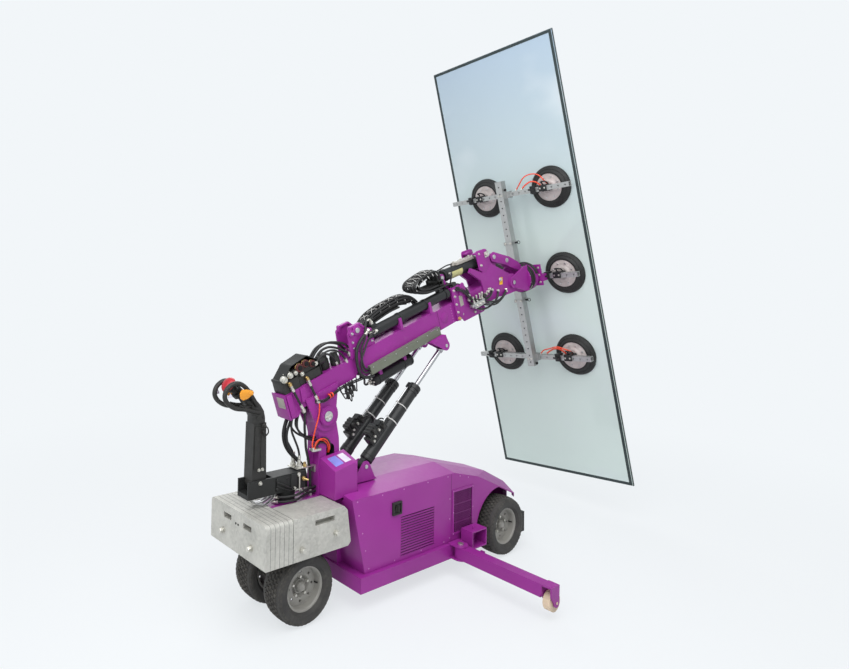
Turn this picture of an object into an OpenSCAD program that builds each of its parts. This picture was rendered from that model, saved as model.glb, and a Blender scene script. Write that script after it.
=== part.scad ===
// Self-propelled glass panel lifter: a counterbalanced chassis with a telescopic boom, a tilting and
// turning head, a vacuum frame with six suction cups, and the glazing unit that the cups hold.
// Lengths are measured from the rear steering axle: +X forward to the pane, +Y left, +Z up, ground at 0.
// Every sub-part is then shifted so that the origin lies at the middle of the outline, on the ground.

/* [Wheels] */
// Outside diameter of all four tyres
tyre_d = 400; // [380:5:404]
// Width of a tyre
tyre_w = 168; // [150:2:170]
// Seat diameter of the rims
rim_d = 236; // [210:2:250]
// Distance between the middles of the rear twin wheels
rear_track = 298; // [294:2:310]
// Distance between the middles of the front wheels
front_track = 536; // [524:2:570]
// Distance from the rear axle to the front axle
wheelbase = 1706; // [1690:2:1716]

/* [Chassis] */
// Rear face of the base frame
frame_rear_x = 336; // [330:1:350]
// Front end of the base frame, with the bumper, ahead of the front axle
front_overhang = 324; // [314:1:354]
// Width of the base frame behind the front wheels
frame_w = 618; // [600:2:640]
// Underside of the base frame above the ground
frame_z = 110; // [90:1:130]
// Height of the base frame
frame_h = 91; // [80:1:95]
// Width of the base frame between the front wheels
frame_nose_w = 320; // [280:2:324]
// Width of the beam that carries the steering column and the weights
neck_w = 156; // [140:2:158]
// Top of that beam above the ground
neck_top = 632; // [620:1:636]
// Height of that beam over the rear wheels
neck_h = 212; // [190:1:216]
// Width of the front bumper plate
bumper_w = 500; // [400:10:560]

/* [Counterweights] */
// Number of plates in the rear stack
stack_plates = 6; // [3:1:10]
// Thickness of one plate of the rear stack
plate_t = 29.5; // [20:0.5:30]
// Width across the counterweights
weight_w = 582; // [560:2:600]
// Underside of the counterweights
weight_z = 408; // [406:1:420]
// Height of the counterweights
weight_h = 232; // [220:1:240]
// Length of a side weight along its lower edge
side_weight_l = 415; // [380:5:425]

/* [Hood] */
// Width across the side panels
hood_w = 562; // [550:2:580]
// Height of the side panels' upper edge
hood_side_z = 650; // [640:1:656]
// Height of the top of the hood
hood_top_z = 680; // [672:1:684]
// Width of the flat top between the two folds
hood_flat_w = 190; // [160:2:200]
// Sheet thickness of the hood and its panels
sheet_t = 3; // [2.5:0.5:4]
// Where the hood starts to slope down to its nose
hood_break_x = 1204; // [1150:2:1240]
// Number of louvres in each side panel
louvre_count = 15; // [9:1:16]

/* [Stabilisers] */
// Side of the square tube of a stabiliser leg
leg_tube = 76; // [70:1:80]
// Reach of a stabiliser leg from the middle of the machine
leg_reach = 1030; // [940:5:1080]
// Middle of the leg along the machine
leg_x = 1180; // [1160:1:1200]
// Diameter of the castor at the end of a leg
castor_d = 110; // [90:2:116]

/* [Mast and boom] */
// Width of the mast
mast_w = 110; // [100:2:112]
// Boom pivot along the machine
boom_pivot_x = 255; // [250:1:260]
// Boom pivot above the ground
boom_pivot_z = 1108; // [1100:1:1116]
// Rest angle of the boom above the horizontal
boom_angle = 19; // [17:0.5:21]
// Diameter of the boom pivot pin
pivot_pin_d = 50; // [40:1:56]
// Width of the outer sleeve of the boom
sleeve_w = 140; // [138:1:144]
// Height of the outer sleeve of the boom
sleeve_h = 171; // [169:1:174]
// Wall of the sleeve
sleeve_wall = 9; // [8:0.5:9]
// Height of the sleeve's underside over the pivot, square to the boom
sleeve_low = 93; // [91:1:96]
// Where the sleeve ends, measured along the boom from the pivot
sleeve_end = 1118; // [1110:1:1124]
// Length of the telescope cylinder's barrel
extend_barrel_l = 840; // [780:5:850]
// Diameter of the telescope cylinder's barrel
extend_barrel_d = 73; // [64:1:76]

/* [Luffing rams] */
// Distance of each ram from the middle of the machine
ram_y = 100; // [98:1:104]
// Lower pin of the rams along the machine
ram_pin_x = 526; // [522:1:530]
// Lower pin of the rams above the ground
ram_pin_z = 772; // [766:1:778]
// Barrel diameter of a ram
ram_d = 80; // [70:1:82]
// Rod diameter of a ram
ram_rod_d = 32; // [28:1:40]
// Length of a ram's barrel from its lower pin
ram_barrel_l = 658; // [620:2:680]
// Diameter of the pins in both ends of the rams
ram_pin_d = 25; // [20:1:28]

/* [Head] */
// Head tilt pivot along the boom
head_pivot_u = 2066; // [2060:1:2072]
// Head tilt pivot square to the boom
head_pivot_v = 161; // [157:1:165]
// Length of the rocker and of the matching arm on the head
rocker_r = 183; // [178:1:188]
// Barrel diameter of the tilt cylinder
tilt_barrel_d = 88; // [80:1:90]
// Diameter of the head's pins
head_pin_d = 32; // [26:1:36]
// Diameter of the slewing drive
slew_d = 230; // [200:5:240]

/* [Vacuum frame] */
// Diameter of a suction cup
cup_d = 350; // [320:5:370]
// Side of the square tubes of the main beam
beam_tube = 60; // [56:1:62]
// Side of the square tubes of the cross arms
arm_tube = 40; // [36:1:42]
// Wall of the drilled aluminium tubes
tube_wall = 4; // [3:0.5:5]
// Offset of the main beam to the left of the slewing axis
beam_y = 136; // [130:1:142]
// Pitch of the adjusting holes
hole_pitch = 60; // [50:5:80]
// Diameter of the adjusting holes
hole_d = 12; // [8:1:14]

/* [Pane] */
// Width of the glazing unit
pane_w = 1226; // [1150:2:1300]
// Height of the glazing unit
pane_h = 3748; // [3600:2:3760]
// Thickness of each glass of the unit
glass_t = 8; // [6:1:10]
// Depth of the spacer between the two glasses
spacer_t = 12; // [10:1:16]
// Visible width of the dark edge
edge_w = 32; // [20:1:40]
// Lean of the pane, with its top towards the machine
pane_lean = 12.29; // [11:0.1:13.5]
// Turn of the pane in its own plane
pane_roll = -3.91; // [-5:0.1:-3]

/* [Tiller] */
// Height of the tiller arm's underside
tiller_z = 702; // [696:1:708]
// Distance of the tiller column behind the steering axis
tiller_back = 212; // [205:1:220]
// Width of the tiller column
tiller_w = 90; // [80:1:96]
// Diameter of the steering column
spindle_d = 90; // [80:1:100]

/* [Fits] */
// Gap between pieces that lie against each other
seat_gap = 0.2; // [0.15:0.05:0.3]
// Radial running clearance of pins and shafts
run_fit = 0.06; // [0.04:0.01:0.1]

/* [Hidden] */
$fn = 48;
frame_front_x = wheelbase + front_overhang;

tyre_r = tyre_d / 2;
axle_z = tyre_r;
face_x = 2681.8;
face_z = 2032.8;
pane_y = 143;
pane_z = 56;
pane_t = 2 * glass_t + spacer_t;
glass_inset = 4;
bow_reach = 259;
rear_end_x = -tiller_back - bow_reach;
front_end_x = face_x + pane_t * cos(pane_lean) + sin(pane_lean)
    * ((pane_h / 2 - glass_inset - pane_z) * cos(pane_roll) - (pane_w / 2 - glass_inset + pane_y) * sin(pane_roll));
mid_x = (rear_end_x + front_end_x) / 2;

module machine() {
    translate([-mid_x, 0, 0]) children();
}
module at_boom() {
    machine() translate([boom_pivot_x, 0, boom_pivot_z]) rotate([0, -boom_angle, 0]) children();
}
module cyl_y(d, y0, y1) {
    translate([0, y0, 0]) rotate([-90, 0, 0]) cylinder(d = d, h = y1 - y0);
}
module cyl_x(d, x0, x1) {
    translate([x0, 0, 0]) rotate([0, 90, 0]) cylinder(d = d, h = x1 - x0);
}
module side_plate(y0, y1) {
    translate([0, y1, 0]) rotate([90, 0, 0]) linear_extrude(y1 - y0) children();
}
module box(x0, x1, y0, y1, z0, z1) {
    translate([x0, y0, z0]) cube([x1 - x0, y1 - y0, z1 - z0]);
}
module both_sides() {
    children();
    mirror([0, 1, 0]) children();
}

// Chassis

frame_top = frame_z + frame_h;
arch_r = tyre_r + 65;
wheel_gap_x = wheelbase - tyre_r - 66;
bumper_t = 30;

module base_frame() {
    color("#8d2390") machine() {
        difference() {
            union() {
                box(frame_rear_x, wheel_gap_x, -frame_w / 2, frame_w / 2, frame_z, frame_top);
                box(wheel_gap_x, frame_front_x, -frame_nose_w / 2, frame_nose_w / 2, frame_z, frame_top);
                both_sides() leg_hinge_plates();
                both_sides() socket_stub();
            }
            both_sides() translate([leg_x, leg_pivot_y, 0]) cylinder(d = leg_pin_d, h = 400);
            translate([wheelbase, 0, axle_z]) cyl_y(axle_housing_d + 2 * seat_gap, -frame_nose_w, frame_nose_w);
        }
    }
}

axle_housing_d = 110;
leg_pin_d = 24;
leg_hinge_t = 8;
leg_pivot_y = frame_w / 2 + leg_tube / 2 + 8;
leg_z = (frame_z + frame_top) / 2 + 8;

// Two plates on each side of the frame hold the pin that a stabiliser leg swings on
module leg_hinge_plates() {
    for (z = [leg_z + leg_tube / 2 + seat_gap, leg_z - leg_tube / 2 - seat_gap - leg_hinge_t])
        translate([leg_x, 0, z]) linear_extrude(leg_hinge_t) {
            translate([-leg_tube / 2 - 12, frame_w / 2 - 20]) square([leg_tube + 24, leg_pivot_y - frame_w / 2 + 20]);
            translate([0, leg_pivot_y]) circle(d = leg_tube + 24);
        }
    box(leg_x - 50, leg_x + 50, frame_w / 2 - 20, frame_w / 2, frame_z, leg_z + leg_tube / 2 + leg_hinge_t);
}

// The square socket beside the front wheel that parks a folded leg's lock
stub_x = leg_x + 74;
stub_l = 150;
stub_y = frame_w / 2 + 30;
module socket_stub() {
    difference() {
        box(stub_x, stub_x + stub_l, frame_w / 2 - 10, frame_w / 2 + 85, frame_top - 34, frame_top + 80);
        box(stub_x + 8, stub_x + stub_l - 8, frame_w / 2, frame_w, frame_top - 26, frame_top + 72);
    }
    translate([stub_x + stub_l / 3, stub_y + 20, frame_top + 80]) cylinder(d = 14, h = 22);
}

beam_low = neck_top - neck_h;
column_x = frame_rear_x + 10;
column_l = 110;

module column_beam() {
    color("#8d2390") machine() difference() {
        union() {
            box(-weight_gap_x, column_x + column_l, -neck_w / 2, neck_w / 2, beam_low, neck_top);
            box(column_x, column_x + column_l, -neck_w / 2, neck_w / 2, frame_top, beam_low);
            cylinder_at_axis(neck_w - 6, beam_low, neck_top + 14);
            side_plate(-neck_w / 2, neck_w / 2)
                polygon([[column_x - 60, beam_low], [column_x, beam_low], [column_x, beam_low - 60]]);
        }
        cylinder_at_axis(spindle_d + 2 * run_fit, 0, neck_top + 40);
    }
}

module cylinder_at_axis(d, z0, z1) {
    translate([0, 0, z0]) cylinder(d = d, h = z1 - z0);
}

mast_rear_x = 208;
mast_front_x = 388;
mast_top_r = 80;

module mast_post() {
    color("#8d2390") machine() difference() {
        union() {
            side_plate(-mast_w / 2, mast_w / 2) {
                translate([boom_pivot_x, boom_pivot_z]) circle(r = mast_top_r);
                polygon([
                    [mast_rear_x, neck_top], [mast_front_x, neck_top], [mast_front_x - 20, 960],
                    [boom_pivot_x + mast_top_r, boom_pivot_z], [boom_pivot_x - mast_top_r, boom_pivot_z],
                    [mast_rear_x, 990]
                ]);
            }
            side_plate(-4, 4) polygon([[mast_rear_x, 760], [mast_rear_x, 960], [mast_rear_x - 46, 880], [mast_rear_x - 46, 840]]);
        }
        translate([boom_pivot_x, 0, boom_pivot_z]) cyl_y(pivot_pin_d + 2 * run_fit, -mast_w, mast_w);
        translate([mast_rear_x + 92, 0, 900]) cyl_y(64, -mast_w, 0);
        translate([mast_rear_x + 92, 0, 900]) box(-32, 32, -mast_w, 0, -40, 0);
    }
}

// The ears that hold the rams' lower pins, on a foot plate welded across the front of the mast
ram_ear_t = 8;
ram_eye_w = 44;
ear_gap = ram_eye_w / 2 + 6;
ram_foot_z = hood_top_z + 2;
module ram_bracket() {
    color("#8d2390") machine() difference() {
        union() {
            box(mast_front_x + seat_gap, console_x1 + 20, -mast_w / 2, mast_w / 2, ram_foot_z, ram_foot_z + 10);
            box(console_x1 + 8, ram_pin_x + 90, -ram_y - ear_gap - ram_ear_t, ram_y + ear_gap + ram_ear_t,
                ram_foot_z, ram_foot_z + 10);
            both_sides() for (y = [ram_y - ear_gap - ram_ear_t, ram_y + ear_gap]) side_plate(y, y + ram_ear_t) {
                translate([ram_pin_x, ram_pin_z]) circle(r = 34);
                polygon([
                    [console_x1 + 14, ram_foot_z + 9], [ram_pin_x + 80, ram_foot_z + 9],
                    [ram_pin_x + 30, ram_pin_z + 16], [ram_pin_x - 30, ram_pin_z + 16]
                ]);
            }
        }
        translate([ram_pin_x, 0, ram_pin_z]) cyl_y(ram_pin_d + 2 * run_fit, -300, 300);
    }
    color("silver") machine() both_sides() translate([ram_pin_x, 0, ram_pin_z]) {
        cyl_y(ram_pin_d, ram_y - ear_gap - ram_ear_t - 6, ram_y - ear_gap);
        cyl_y(ram_pin_d, ram_y + ear_gap, ram_y + ear_gap + ram_ear_t + 6);
    }
}

console_x0 = 220;
console_x1 = 405;
console_y0 = mast_w / 2 + seat_gap;
console_y1 = 200;
module console_box() {
    color("#9a2a9c") machine() {
        mirror([0, 1, 0]) hull() {
            side_plate(console_y0, console_y0 + 4)
                polygon([[console_x0, 642], [console_x1, 660], [console_x1, 880], [console_x0, 855]]);
            side_plate(console_y1 - 4, console_y1)
                polygon([[console_x0, 642], [console_x0, 808], [console_x1 - 10, 842], [console_x1 - 10, 660]]);
        }
    }
}

// Hood

hood_rear_top_x = 285;
hood_rear_low_x = 392;
hood_mid_x = 1450;
hood_mid_z = 583;
nose_side_x = 1884;
nose_side_z = 385;
nose_x = 2011;
nose_z = 400;
nose_lip = 30;
nose_bend_x = 1772;
nose_bend_z = 521;
mast_slot_x = mast_front_x + 30;

module hood_form(inset) {
    base_z = frame_top + 1;
    hull() {
        side_plate(-hood_flat_w / 2, hood_flat_w / 2) polygon([
            [hood_rear_low_x + inset, base_z], [hood_rear_top_x + inset, hood_top_z - inset],
            [hood_break_x, hood_top_z - inset], [nose_bend_x, nose_bend_z - inset], [nose_x - inset, nose_z - inset],
            [nose_x - inset, nose_z - nose_lip], [nose_x - inset, base_z]
        ]);
        side_plate(-hood_w / 2 + inset, hood_w / 2 - inset) polygon([
            [hood_rear_low_x + inset, base_z], [hood_rear_top_x + inset, hood_side_z - inset],
            [hood_break_x, hood_side_z - inset], [hood_mid_x, hood_mid_z - inset],
            [nose_side_x - inset, nose_side_z - inset], [nose_side_x - inset, base_z]
        ]);
    }
}

// Folded top, rear wall and nose of the hood, open below and beside the wheels
module hood_top() {
    color("#a52fa7") machine() difference() {
        intersection() {
            hood_form(0);
            box(0, 2200, -hood_w / 2 + sheet_t + seat_gap, hood_w / 2 - sheet_t - seat_gap, frame_top + 1, 900);
        }
        translate([0, 0, -sheet_t]) hood_form(sheet_t);
        box(0, mast_slot_x, -neck_w / 2 - 1, neck_w / 2 + 1, frame_top, 900);
        box(0, console_x1 + seat_gap, -console_y1 - seat_gap, 0, neck_top, 900);
        both_sides() box(wheel_gap_x - 20, nose_side_x + 30, frame_nose_w / 2 + 1, hood_w, 0, nose_side_z - 28);
        both_sides() box(nose_side_x + 20, nose_x + 20, frame_nose_w / 2 + 1, hood_w, 0, nose_z - nose_lip);
    }
}

louvre_x0 = 694;
louvre_x1 = 1002;
louvre_z0 = 232;
louvre_z1 = 470;
louvre_h = 6;
grille_x0 = 1196;
grille_x1 = 1386;
grille_z0 = 258;
grille_z1 = 524;
switch_x = 652;
switch_z = 534;
switch_size = 78;

module panel_outline() {
    difference() {
        polygon([
            [hood_rear_low_x, frame_top + 1], [hood_rear_top_x, hood_side_z], [hood_break_x, hood_side_z],
            [hood_mid_x, hood_mid_z], [nose_side_x, nose_side_z], [nose_side_x, frame_top + 1]
        ]);
        translate([wheelbase, axle_z]) circle(r = arch_r, $fn = 96);
        translate([wheelbase, 0]) square([400, axle_z]);
        translate([grille_x0, grille_z0]) square([grille_x1 - grille_x0, grille_z1 - grille_z0]);
        for (i = [0:louvre_count - 1])
            translate([louvre_x0, louvre_z0 + i * (louvre_z1 - louvre_z0 - louvre_h) / max(1, louvre_count - 1)])
                square([louvre_x1 - louvre_x0, louvre_h]);
    }
}

module side_panel(side) {
    y = side > 0 ? hood_w / 2 - sheet_t : -hood_w / 2;
    color("#8d2390") machine() difference() {
        side_plate(y, y + sheet_t) panel_outline();
        if (side < 0) box(switch_x - 30, switch_x + 30, y - 1, y + sheet_t + 1, switch_z - 32, switch_z + 32);
    }
}

// One framed mesh screen over the cooling opening in each side panel
module mesh_screens() {
    rim = 14;
    bar = 3;
    pitch = 12;
    count_x = floor((grille_x1 - grille_x0) / pitch);
    color("#7a2a80") machine() both_sides()
        side_plate(hood_w / 2 + seat_gap, hood_w / 2 + 6) {
            difference() {
                translate([grille_x0 - rim, grille_z0 - rim])
                    square([grille_x1 - grille_x0 + 2 * rim, grille_z1 - grille_z0 + 2 * rim]);
                translate([grille_x0, grille_z0]) square([grille_x1 - grille_x0, grille_z1 - grille_z0]);
            }
            for (i = [1:count_x - 1]) translate([grille_x0 + i * pitch, grille_z0])
                square([bar, grille_z1 - grille_z0]);
            for (z = [grille_z0 + 60:60:grille_z1 - 30]) translate([grille_x0, z]) square([grille_x1 - grille_x0, bar]);
        }
}

module battery_blocks() {
    size = [300, 175, 225];
    color("#303234") machine() for (i = [0:1]) for (side = [-1, 1]) {
        x = 560 + i * (size.x + 12);
        y = side * (size.y / 2 + 3);
        translate([x, y - size.y / 2, frame_top]) cube(size);
        for (p = [40, size.x - 40]) translate([x + p, y, frame_top + size.z]) cylinder(d = 18, h = 16);
    }
}

module pump_and_tank() {
    tank = [190, 240, 150];
    tank_x = 1230;
    color("#26282a") machine() {
        translate([tank_x, -tank.y / 2, frame_top]) cube(tank);
        translate([0, 0, frame_top + tank.z]) translate([tank_x + tank.x / 2, 0, 0]) {
            cylinder(d = 120, h = 46);
            cylinder(d = 96, h = 170);
        }
    }
}

hub_plate_d = 150;
wheel_hub_y = 30;
module drive_axle() {
    inner = front_track / 2 - wheel_hub_y;
    color("#2b2d2f") machine() translate([wheelbase, 0, axle_z]) {
        cyl_y(axle_housing_d, -inner + 30, inner - 30);
        both_sides() cyl_y(hub_plate_d, inner - 30, inner);
        both_sides() cyl_y(axle_d, inner, front_track / 2 + 30);
        translate([0, 0, axle_housing_d / 2 - 14]) cylinder(d = 90, h = 150);
    }
}

module bumper() {
    color("#1b1c1d") machine() difference() {
        box(frame_front_x + seat_gap, frame_front_x + bumper_t, -bumper_w / 2, bumper_w / 2, 60, 205);
        both_sides() translate([frame_front_x, bumper_w / 2 - 70, 155]) cyl_x(18, -10, bumper_t + 10);
    }
}

// Counterweights

weight_gap_x = 147;
weight_top = weight_z + weight_h;
weight_corner = 26;
slot_w = 84;
slot_h = 30;
bolt_d = 20;

module weight_outline() {
    difference() {
        union() {
            translate([-weight_w / 2, weight_z]) square([weight_w, weight_h - weight_corner]);
            translate([-weight_w / 2 + weight_corner, weight_z]) square([weight_w - 2 * weight_corner, weight_h]);
            for (s = [-1, 1]) translate([s * (weight_w / 2 - weight_corner), weight_top - weight_corner])
                circle(r = weight_corner);
        }
        for (s = [-1, 1]) translate([s * 105 - slot_w / 2, weight_top - 76]) square([slot_w, slot_h]);
        for (s = [-1, 1]) translate([s * bolt_spread, weight_z + 78]) circle(d = bolt_d + 2 * seat_gap);
    }
}
bolt_spread = 150;

module rear_weights() {
    color("#b9bdba") machine() for (i = [0:stack_plates - 1])
        translate([-weight_gap_x - seat_gap - (i + 1) * plate_t - i * seat_gap, 0, 0])
            rotate([90, 0, 90]) linear_extrude(plate_t) weight_outline();
}

side_weight_in = neck_w / 2 + 2;
side_weight_out = weight_w / 2;
side_bolts = [[60, 60], [300, 96]];
module side_weight(side) {
    slope = 28;
    bottom = side_weight_l;
    color("#b9bdba") machine() translate([-weight_gap_x, 0, 0]) mirror([0, side > 0 ? 0 : 1, 0]) difference() {
        side_plate(side_weight_in, side_weight_out) {
            difference() {
                polygon([
                    [0, weight_z], [bottom - 20, weight_z], [bottom, weight_z + 20],
                    [bottom - slope, weight_top - weight_corner], [bottom - slope - weight_corner, weight_top],
                    [0, weight_top]
                ]);
                for (b = side_bolts) translate([b.x, weight_z + b.y]) circle(d = bolt_d + 2 * seat_gap);
            }
        }
        box(150, 290, side_weight_out - 40, side_weight_out + 1, weight_top - 66, weight_top - 36);
    }
}
module side_weights() {
    side_weight(1);
    side_weight(-1);
}

// Bolts that clamp the stack on the beam's end and the side weights on the beam's sides
module weight_bolts() {
    head = 10;
    stack_l = stack_plates * (plate_t + seat_gap);
    color("#c9ccc8") machine() {
        for (s = [-1, 1]) translate([0, s * bolt_spread, weight_z + 78]) {
            cyl_x(bolt_d, -weight_gap_x - stack_l - seat_gap, -weight_gap_x - seat_gap);
            cyl_x(bolt_d * 1.7, -weight_gap_x - stack_l - seat_gap - head, -weight_gap_x - stack_l - seat_gap);
        }
        both_sides() for (b = side_bolts) translate([b.x - weight_gap_x, 0, weight_z + b.y]) {
            cyl_y(bolt_d, neck_w / 2 + seat_gap, side_weight_out + seat_gap);
            cyl_y(bolt_d * 1.7, side_weight_out + seat_gap, side_weight_out + seat_gap + head);
        }
    }
}

module switch_plate() {
    y = -hood_w / 2;
    color("#17181a") machine() difference() {
        box(switch_x - switch_size / 2, switch_x + switch_size / 2, y - 8, y - seat_gap,
            switch_z - switch_size / 2, switch_z + switch_size / 2);
        translate([switch_x, y - 8, switch_z]) box(-28, 28, -1, 4, -26, 26);
        translate([switch_x, 0, switch_z]) cyl_y(16, y - 9, y + 1);
    }
}

module switch_key() {
    y = -hood_w / 2;
    color("#b3261e") machine() translate([switch_x, 0, switch_z]) {
        cyl_y(16 - 2 * run_fit, y - 10, y + 20);
        cyl_y(34, y - 14, y - 5);
        box(-4, 4, y - 22, y - 14, -19, 19);
    }
}

// Wheels

rim_inner_r = rim_d / 2 - 8;
axle_d = 40;
tread_h = 9;
groove_in = 21;
groove_out = 30;
notch_w = 8;

module tyre_profile() {
    shoulder = tyre_w / 2 - 12;
    seat = rim_d / 2 + seat_gap;
    half = [
        [seat, tyre_w * 0.34], [seat + 8, tyre_w * 0.34 + 2], [seat + 18, tyre_w * 0.45], [seat + 38, tyre_w / 2],
        [tyre_r - 24, tyre_w / 2 - 1], [tyre_r - 9, shoulder + 4], [tyre_r - 3, shoulder - 12],
        [tyre_r, shoulder - 34], [tyre_r, groove_out], [tyre_r - tread_h, groove_out - 1],
        [tyre_r - tread_h, groove_in + 1], [tyre_r, groove_in]
    ];
    polygon(concat(half, [for (i = [len(half) - 1:-1:0]) [half[i].x, -half[i].y]]));
}

// A turf tyre: rounded shoulders, grooves round the tread and notches across it
module tyre(x, y) {
    notches = 24;
    notch_start = (groove_in + groove_out) / 2;
    notch_l = tyre_w / 2 + 1 - notch_start;
    color("#26272a") machine() translate([x, y, axle_z]) rotate([90, 0, 0]) difference() {
        rotate_extrude($fn = 96) tyre_profile();
        for (i = [0:notches - 1]) rotate([0, 0, i * 360 / notches]) for (s = [-1, 1])
            translate([tyre_r - tread_h + 2, -notch_w / 2, s > 0 ? notch_start : -tyre_w / 2 - 1])
                cube([tread_h + 2, notch_w, notch_l]);
    }
}

// A pressed rim with a dished disc; side is the outboard direction
module rim(x, y, side) {
    lip = tyre_w * 0.34;
    disc_y = 18;
    color("#a9abad") machine() translate([x, y, axle_z]) rotate([side > 0 ? -90 : 90, 0, 0]) difference() {
        rotate_extrude($fn = 96) polygon([
            [axle_d / 2 + run_fit, -18], [45, -18], [60, disc_y - 8], [rim_inner_r - 12, disc_y - 8],
            [rim_inner_r, -lip], [rim_d / 2 - 2, -lip - 5], [rim_d / 2 + 7, -lip - 5], [rim_d / 2 + 7, -lip - 3],
            [rim_d / 2, -lip - 1], [rim_d / 2, lip + 1], [rim_d / 2 + 7, lip + 3], [rim_d / 2 + 7, lip + 5],
            [rim_d / 2 - 2, lip + 5], [rim_inner_r, lip - 4], [rim_inner_r - 6, disc_y], [62, disc_y],
            [46, -2], [36, 8], [axle_d / 2 + run_fit, 8]
        ]);
        for (a = [0:45:315]) rotate([0, 0, a]) translate([82, 0, 0]) cylinder(d = 15, h = 60, center = true);
    }
}

// Dust cap that holds the wheel on its axle
module wheel_cap(x, y, side) {
    color("#8f9294") machine() translate([x, y, axle_z]) rotate([side > 0 ? -90 : 90, 0, 0])
        translate([0, 0, 8 + seat_gap]) rotate_extrude()
            polygon([[axle_d / 2 + run_fit, 0], [30, 0], [28, 20], [18, 32], [0, 34], [0, 26], [axle_d / 2 + run_fit, 24]]);
}

module wheel_front_left() {
    rim(wheelbase, front_track / 2, 1);
    wheel_cap(wheelbase, front_track / 2, 1);
}
module wheel_front_right() {
    rim(wheelbase, -front_track / 2, -1);
    wheel_cap(wheelbase, -front_track / 2, -1);
}
module wheel_rear_left() {
    rim(0, rear_track / 2, 1);
    wheel_cap(0, rear_track / 2, 1);
}
module wheel_rear_right() {
    rim(0, -rear_track / 2, -1);
    wheel_cap(0, -rear_track / 2, -1);
}
module tyre_front_left() tyre(wheelbase, front_track / 2);
module tyre_front_right() tyre(wheelbase, -front_track / 2);
module tyre_rear_left() tyre(0, rear_track / 2);
module tyre_rear_right() tyre(0, -rear_track / 2);

// Steering and tiller

fork_w = 90;
tiller_h = 98;
module steering_fork() {
    hub = rear_track / 2 - wheel_hub_y;
    color("#1f2123") machine() {
        box(-55, 55, -fork_w / 2, fork_w / 2, 150, beam_low - 24);
        cylinder_at_axis(neck_w - 16, beam_low - 24, beam_low - seat_gap);
        cylinder_at_axis(spindle_d, beam_low - seat_gap, tiller_z - seat_gap);
        translate([0, 0, axle_z]) {
            both_sides() cyl_y(80, fork_w / 2, hub);
            both_sides() cyl_y(axle_d, hub, rear_track / 2 + 30);
        }
    }
}

tilt_pin_z = tiller_z + tiller_h - 18;
module tiller_base() {
    rear = tiller_back + 80;
    cheek = tiller_w / 2 + 2;
    color("#202224") machine() difference() {
        union() {
            box(-rear + 170, 112, -52, 52, tiller_z, tiller_z + tiller_h);
            box(-rear, 112, -52, 52, tiller_z, tiller_z + 26);
            both_sides() side_plate(cheek - 1, cheek + 9)
                polygon([[-rear, tiller_z], [-100, tiller_z], [-100, tiller_z + tiller_h], [-rear, tiller_z + tiller_h]]);
            cylinder_at_axis(spindle_d + 30, neck_top + 15, tiller_z);
        }
        cylinder_at_axis(spindle_d + 2 * seat_gap, 0, tiller_z);
        translate([-tiller_back, 0, tilt_pin_z]) cyl_y(16 + 2 * run_fit, -100, 100);
    }
}

column_top = 1118;
module tiller_column() {
    half = tiller_w / 2 - 2;
    foot = tiller_z + 26 + 4;
    color("#26282b") machine() translate([-tiller_back, 0, 0]) {
        side_plate(-half, half) {
            translate([0, tilt_pin_z]) circle(r = 42);
            polygon([[-48, tilt_pin_z + 20], [48, tilt_pin_z + 20], [42, column_top], [-42, column_top]]);
        }
        translate([0, 0, tilt_pin_z]) both_sides() cyl_y(16, half, half + 13);
        box(44, 62, -14, 14, column_top - 120, column_top - 70);
    }
}

// The grip: a forked body that rises to the rear, with a bow round each hand
bow_in = 44;
head_pts = [[-46, 1118.2], [46, 1118.2], [44, 1160], [-10, 1248], [-96, 1300], [-128, 1268], [-120, 1225]];
bow_c = [-180, 1290];
module tiller_head() {
    color("#202224") machine() translate([-tiller_back, 0, 0]) difference() {
        union() {
            side_plate(-bow_in - 1, bow_in + 1) polygon(head_pts);
            both_sides() difference() {
                side_plate(bow_in, bow_in + 22) grip_bow();
                side_plate(bow_in - 1, bow_in + 23) grip_window();
            }
        }
        at_button() translate([0, 0, -shaft_l - belly_travel]) cylinder(d = button_bore, h = 280);
    }
}
module grip_bow() {
    polygon([
        [-10, 1170], [30, 1185], [-30, 1262], [-95, 1345], [-150, 1364], [-215, 1352], [-252, 1320],
        [-bow_reach, 1280], [-235, 1250], [-160, 1215], [-80, 1180]
    ]);
}
module grip_window() {
    polygon([[-90, 1215], [-60, 1238], [-110, 1310], [-155, 1335], [-205, 1328], [-232, 1300], [-225, 1272], [-160, 1240]]);
}

// The red button points to the rear and up, and slides on a shaft in the head
belly_travel = 12;
button_bore = 44;
shaft_l = 60;
button_out = 50;
module at_button() {
    translate([bow_c.x + 40, 0, bow_c.y + 16]) rotate([0, -50, 0]) children();
}
module belly_button() {
    color("#c3262b") machine() translate([-tiller_back, 0, 0]) at_button() {
        translate([0, 0, -shaft_l]) cylinder(d = button_bore - 2 * seat_gap, h = shaft_l + button_out);
        translate([0, 0, button_out]) cylinder(d = button_bore - 4, h = belly_travel);
        translate([0, 0, button_out + belly_travel]) cylinder(d1 = 84, d2 = 60, h = 22);
    }
}

rocker_at = [-84, 1303];
module thumb_rocker() {
    color("#e8a02c") machine() translate([-tiller_back + rocker_at.x, 0, rocker_at.y]) both_sides() {
        cyl_y(20, bow_in + 22 + seat_gap, bow_in + 34);
        side_plate(bow_in + 24, bow_in + 34) polygon([[-12, -8], [12, -8], [16, 30], [2, 44], [-14, 30]]);
    }
}

// Stabiliser legs

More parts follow.
